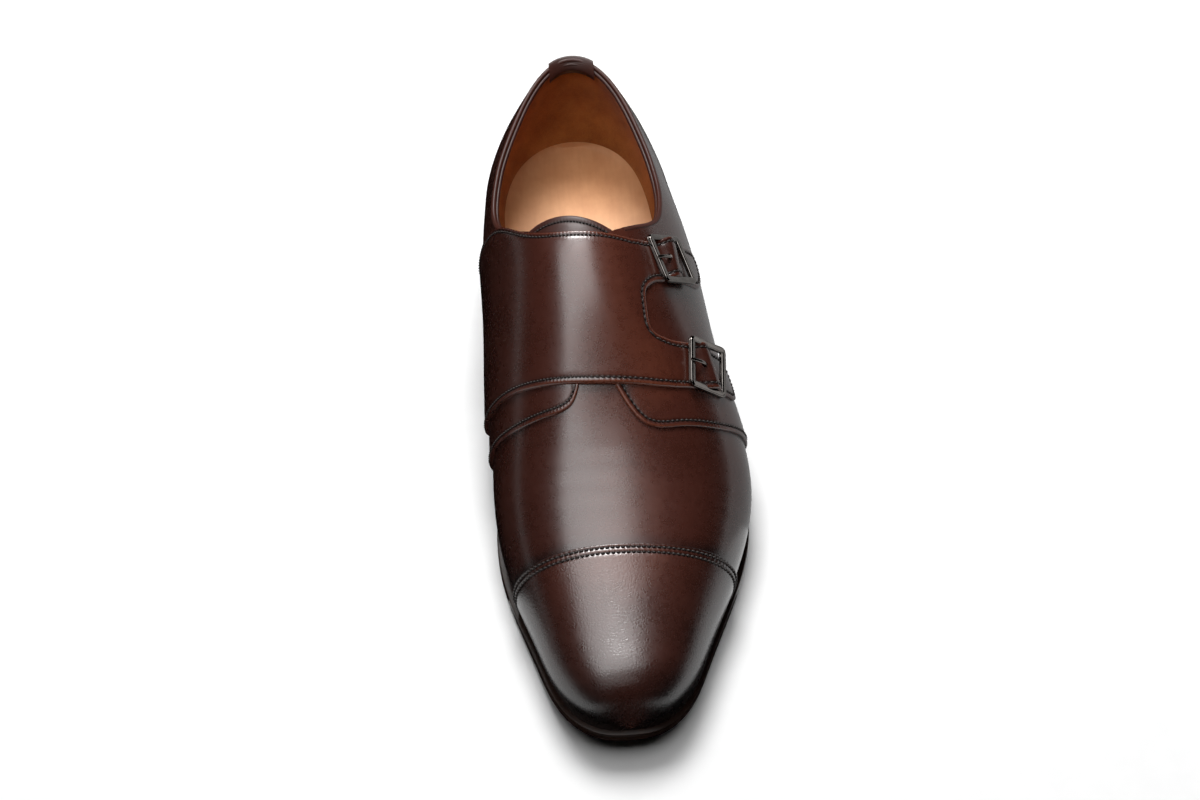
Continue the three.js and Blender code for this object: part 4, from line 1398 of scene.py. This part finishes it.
def build_buckle(strap):
    def metal(name, across, along, height, profile, **options):
        path, normals = buckle_line(strap, np.column_stack([across, along, height]))
        return sweep(name, path, normals, profile, buckle_metal, "buckle_metal", **options)

    rim = rounded_rectangle(BUCKLE_WIDTH - BUCKLE_BAR, BUCKLE_LENGTH - BUCKLE_BAR, 0.9)
    piece = metal(f"buckle_frame_{strap.name}_metal", rim[:, 0], rim[:, 1], 0 * rim[:, 0],
                  oval(2.0, BUCKLE_BAR, 24, 4.5), closed=True)
    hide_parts(f"buckle_frame_{strap.name}")
    reach = (BUCKLE_WIDTH - BUCKLE_BAR) / 2
    across = np.linspace(-reach, reach, 24)
    metal(f"buckle_bar_{strap.name}", across, 0 * across, 0 * across - 0.1, oval(1.5, 1.6, 14))
    along = np.linspace(0, PRONG[0][0], 40)
    piece = metal(f"buckle_prong_{strap.name}_metal", 0 * along, along, spline(PRONG)(along),
                  oval(1.4, 1.9, 16), tapers=1.0 - 0.35 * np.linspace(0, 1, 40))
    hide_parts(f"buckle_prong_{strap.name}")


def build_buckle_tab(strap):
    """The small leather strip that holds the buckle's middle bar, sewn down beyond the frame."""
    half = 6.0
    outline = rounded([(-half, -4.2), (half, -4.2), (half, 19.0), (half * 0.5, 22.0), (-half * 0.5, 22.0),
                       (-half, 19.0)], [1, 1, 2.5, 2.5, 2.5, 2.5])
    local = anticlockwise(even_steps(outline, 0.9, closed=True))
    points, faces = filled(local, 1.2, (0.15, 0.4))
    s, q = strap.grid_place(points[:, 0], points[:, 1])
    high = 2.3 - edge_roll(nearest_on(points, local)[0], 0.35)
    piece = thick_sheet(f"buckle_tab_{strap.name}_leather", s, q, 1.32, high, faces, quarter_leather,
                        np.full(len(s), 0.35))
    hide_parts(f"buckle_tab_{strap.name}")


# ---- assembly ----------------------------------------------------------------------------------
build_vamp()
build_lining()
build_toe_cap()
for side in SIDES:
    build_quarter(side)
flap_line = build_flap()
tongue_line = build_tongue()
build_collar_edge()
build_back_tab()
build_outsole()
build_heel()
build_insole()
for strap in STRAPS:
    build_buckle(strap)
    build_buckle_tab(strap)


def cap_stitches(offset):
    """Stitches along the cap's seam, at the runs where its puckers lie."""
    places = np.linspace(-1, 1, 1201)
    runs = cap_run(places)
    s = np.full(len(places), CAP_SEAM + offset)
    return stitch_ends(stitch_middles(runs[-1]), runs, s, places, CAP_HIGH + 0.06)[1]


def quarter_stitches(side):
    return stitch_places(quarter_outline(side)[:-2], QUARTER_ROW, QUARTER_HIGH + 0.07, closed=False,
                         inward=-side, keep=lambda s, q: np.abs(q) < 0.97)


build_stitches("stitches_flap",
               [stitch_places(flap_line, FLAP_ROW, lambda s, q: flap_high(s, q) - 0.02)])
build_stitches("stitches_cap", [cap_stitches(at) for at in CAP_ROWS], 1.0)
build_stitches("stitches_quarters", [quarter_stitches(side) for side in SIDES])
build_stitches("stitches_tongue", [stitch_places(tongue_line, TONGUE_ROW, TONGUE_HIGH + 0.05,
                                                 keep=lambda s, q: s < 125)])

# ---- stage, light and camera -------------------------------------------------------------------
TABLE_RADIUS = 0.6
GLOW_RADIUS = 2.4
BACKDROP_RADIUS = 9.0
LOOK_AT = (0, 0, 0.04)
# name, place, size, radiance, turn and what it lights: the shoe, the table or, without a name, both
LAMPS = [
    ("key_overhead", (-0.21, -0.02, 1.2), (1.05, 0.86), 2.8, -12, "shoe"),
    ("soft_overhead", (-0.28, -0.86, 1.25), (1.0, 0.76), 0.7, 0, "shoe"),
    ("back_light", (-0.06, 0.85, 1.45), (0.7, 0.6), 22.0, 0, None),
    ("table_wash", (0.0, 0.3, 2.2), (2.4, 2.4), 1.5, 0, "table"),
]
# boards on the table: name, low corner, high corner, glow
BOARD_LIFT = 0.0004
BOARDS = [
    ("floor_board_right", (0.045, -0.42), (0.34, -0.05), 0.8),
    ("floor_board_left", (-0.34, -0.42), (-0.049, -0.075), 0.75),
    ("floor_board_side", (0.055, -0.05), (0.7, 0.6), 0.4),
]
# standing boards round the table: name, first and last angle, glow
HORIZON = [("floor_board_horizon_right", -15, 75, 0.8), ("floor_board_horizon_left", 120, 205, 0.5)]
HORIZON_RADIUS = 1.1
HORIZON_HEIGHT = 0.10
WORLD_STRENGTH = 0.95
CAMERA_TARGET = Vector((AXIS_X, HEEL_Y - 0.1524, 0.040))
CAMERA_ELEVATION = 54.0
CAMERA_DISTANCE = 1.25
CAMERA_ASIDE = -0.0629
SENSOR_WIDTH = 36.0
FOCAL_SHARE = 3030.0 / 1200.0     # the lens's length in widths of the picture


def arc(start, end, count, endpoint=True):
    angles = np.radians(np.linspace(start, end, count, endpoint=endpoint))
    return np.stack([np.cos(angles), np.sin(angles), 0 * angles], -1)


def studio_floor():
    """A white table, and a paler sweep round it that glows towards the horizon."""
    n = Nodes("floor_paper")
    color = n.ramp(n.noise(90.0, 3.0), [(0.3, (0.90, 0.90, 0.90)), (0.7, (0.92, 0.92, 0.92))])
    radius = n.add("ShaderNodeVectorMath", {0: n.place}, operation="LENGTH").outputs["Value"]
    n.principled(Base_Color=color, Roughness=0.9, Emission_Color=WHITE, Specular_IOR_Level=0.1,
                 Emission_Strength=n.span(radius, TABLE_RADIUS, GLOW_RADIUS, 0.0, 0.88))
    count = 96
    ring = arc(0, 360, count, endpoint=False)
    steps = [(j, (j + 1) % count) for j in range(count)]
    sweep_faces = [(a, count + a, count + b, b) for a, b in steps]
    for name, points, faces in (
            ("floor_table", ring * TABLE_RADIUS, [tuple(range(count))]),
            ("floor_sweep", np.concatenate([ring * TABLE_RADIUS, ring * BACKDROP_RADIUS]), sweep_faces)):
        stage = linked_mesh(name, points, faces, n.material)
        stage.visible_glossy = False


def area_light(name, place, size, radiance, turn, receivers):
    """A flat soft light, its longer side along the shoe; its power follows from its radiance."""
    data = bpy.data.lights.new(name, "AREA")
    data.shape = "RECTANGLE"
    data.size, data.size_y = size
    data.energy = radiance * math.pi * size[0] * size[1]
    lamp = bpy.data.objects.new(name, data)
    away = (Vector(place) - Vector(LOOK_AT)).normalized()
    along = Vector((math.sin(math.radians(turn)), math.cos(math.radians(turn)), 0))
    across = along.cross(away).normalized()
    turned = Matrix((across, away.cross(across), away)).transposed().to_4x4()
    lamp.matrix_world = Matrix.Translation(place) @ turned
    bpy.context.scene.collection.objects.link(lamp)
    if receivers:
        lamp.light_linking.receiver_collection = receivers


def gathered(name, on_floor):
    group = bpy.data.collections.new(name)
    for piece in bpy.context.scene.collection.all_objects:
        if piece.type == "MESH" and piece.name.startswith("floor") == on_floor:
            group.objects.link(piece)
    return group


def gloss_card(name, points, faces, glow):
    """A card that only the gloss of the shoe sees, as a studio sets white and black boards."""
    n = Nodes(name)
    n.principled(Base_Color=(0, 0, 0, 1), Roughness=1.0, Emission_Color=WHITE, Specular_IOR_Level=0.0,
                 Emission_Strength=n.span(n.noise(6.0), 0.3, 0.7, glow * 0.92, glow * 1.08))
    card = linked_mesh(name, points, faces, n.material)
    card.visible_camera = False
    card.visible_diffuse = False
    card.visible_shadow = False
    card.visible_transmission = False


def gloss_boards():
    for name, (x0, y0), (x1, y1), glow in BOARDS:
        corners = [(x, y, BOARD_LIFT) for x, y in ((x0, y0), (x1, y0), (x1, y1), (x0, y1))]
        gloss_card(name, corners, [(0, 1, 2, 3)], glow)
    for name, start, end, glow in HORIZON:
        rim = arc(start, end, 24) * HORIZON_RADIUS
        points = np.concatenate([rim, rim + np.array([0, 0, HORIZON_HEIGHT])])
        gloss_card(name, points, grid_faces(2, 24), glow)


def studio_light():
    groups = {"shoe": gathered("shoe_pieces", False), "table": gathered("table_pieces", True), None: None}
    for name, place, size, radiance, turn, lit in LAMPS:
        area_light(name, place, size, radiance, turn, groups[lit])
    world = bpy.data.worlds.new("studio")
    bpy.context.scene.world = world
    world.use_nodes = True
    background = world.node_tree.nodes["Background"]
    background.inputs["Color"].default_value = WHITE
    background.inputs["Strength"].default_value = WORLD_STRENGTH
    world.cycles_visibility.glossy = False
    world.cycles_visibility.diffuse = False


def studio_camera():
    """The camera looks down on the toe from the front, a little from the inner side."""
    elevation = math.radians(CAMERA_ELEVATION)
    place = CAMERA_TARGET + Vector((CAMERA_ASIDE, -math.cos(elevation) * CAMERA_DISTANCE,
                                    math.sin(elevation) * CAMERA_DISTANCE))
    data = bpy.data.cameras.new("camera")
    data.sensor_width = SENSOR_WIDTH
    data.lens = FOCAL_SHARE * SENSOR_WIDTH
    data.clip_start = 0.05
    data.clip_end = 20.0
    camera = bpy.data.objects.new("camera", data)
    camera.location = place
    camera.rotation_euler = (CAMERA_TARGET - place).to_track_quat("-Z", "Y").to_euler()
    bpy.context.scene.collection.objects.link(camera)
    bpy.context.scene.camera = camera


studio_floor()
gloss_boards()
studio_light()
studio_camera()
bpy.context.scene.view_settings.view_transform = "Standard"
bpy.context.scene.view_settings.look = "None"
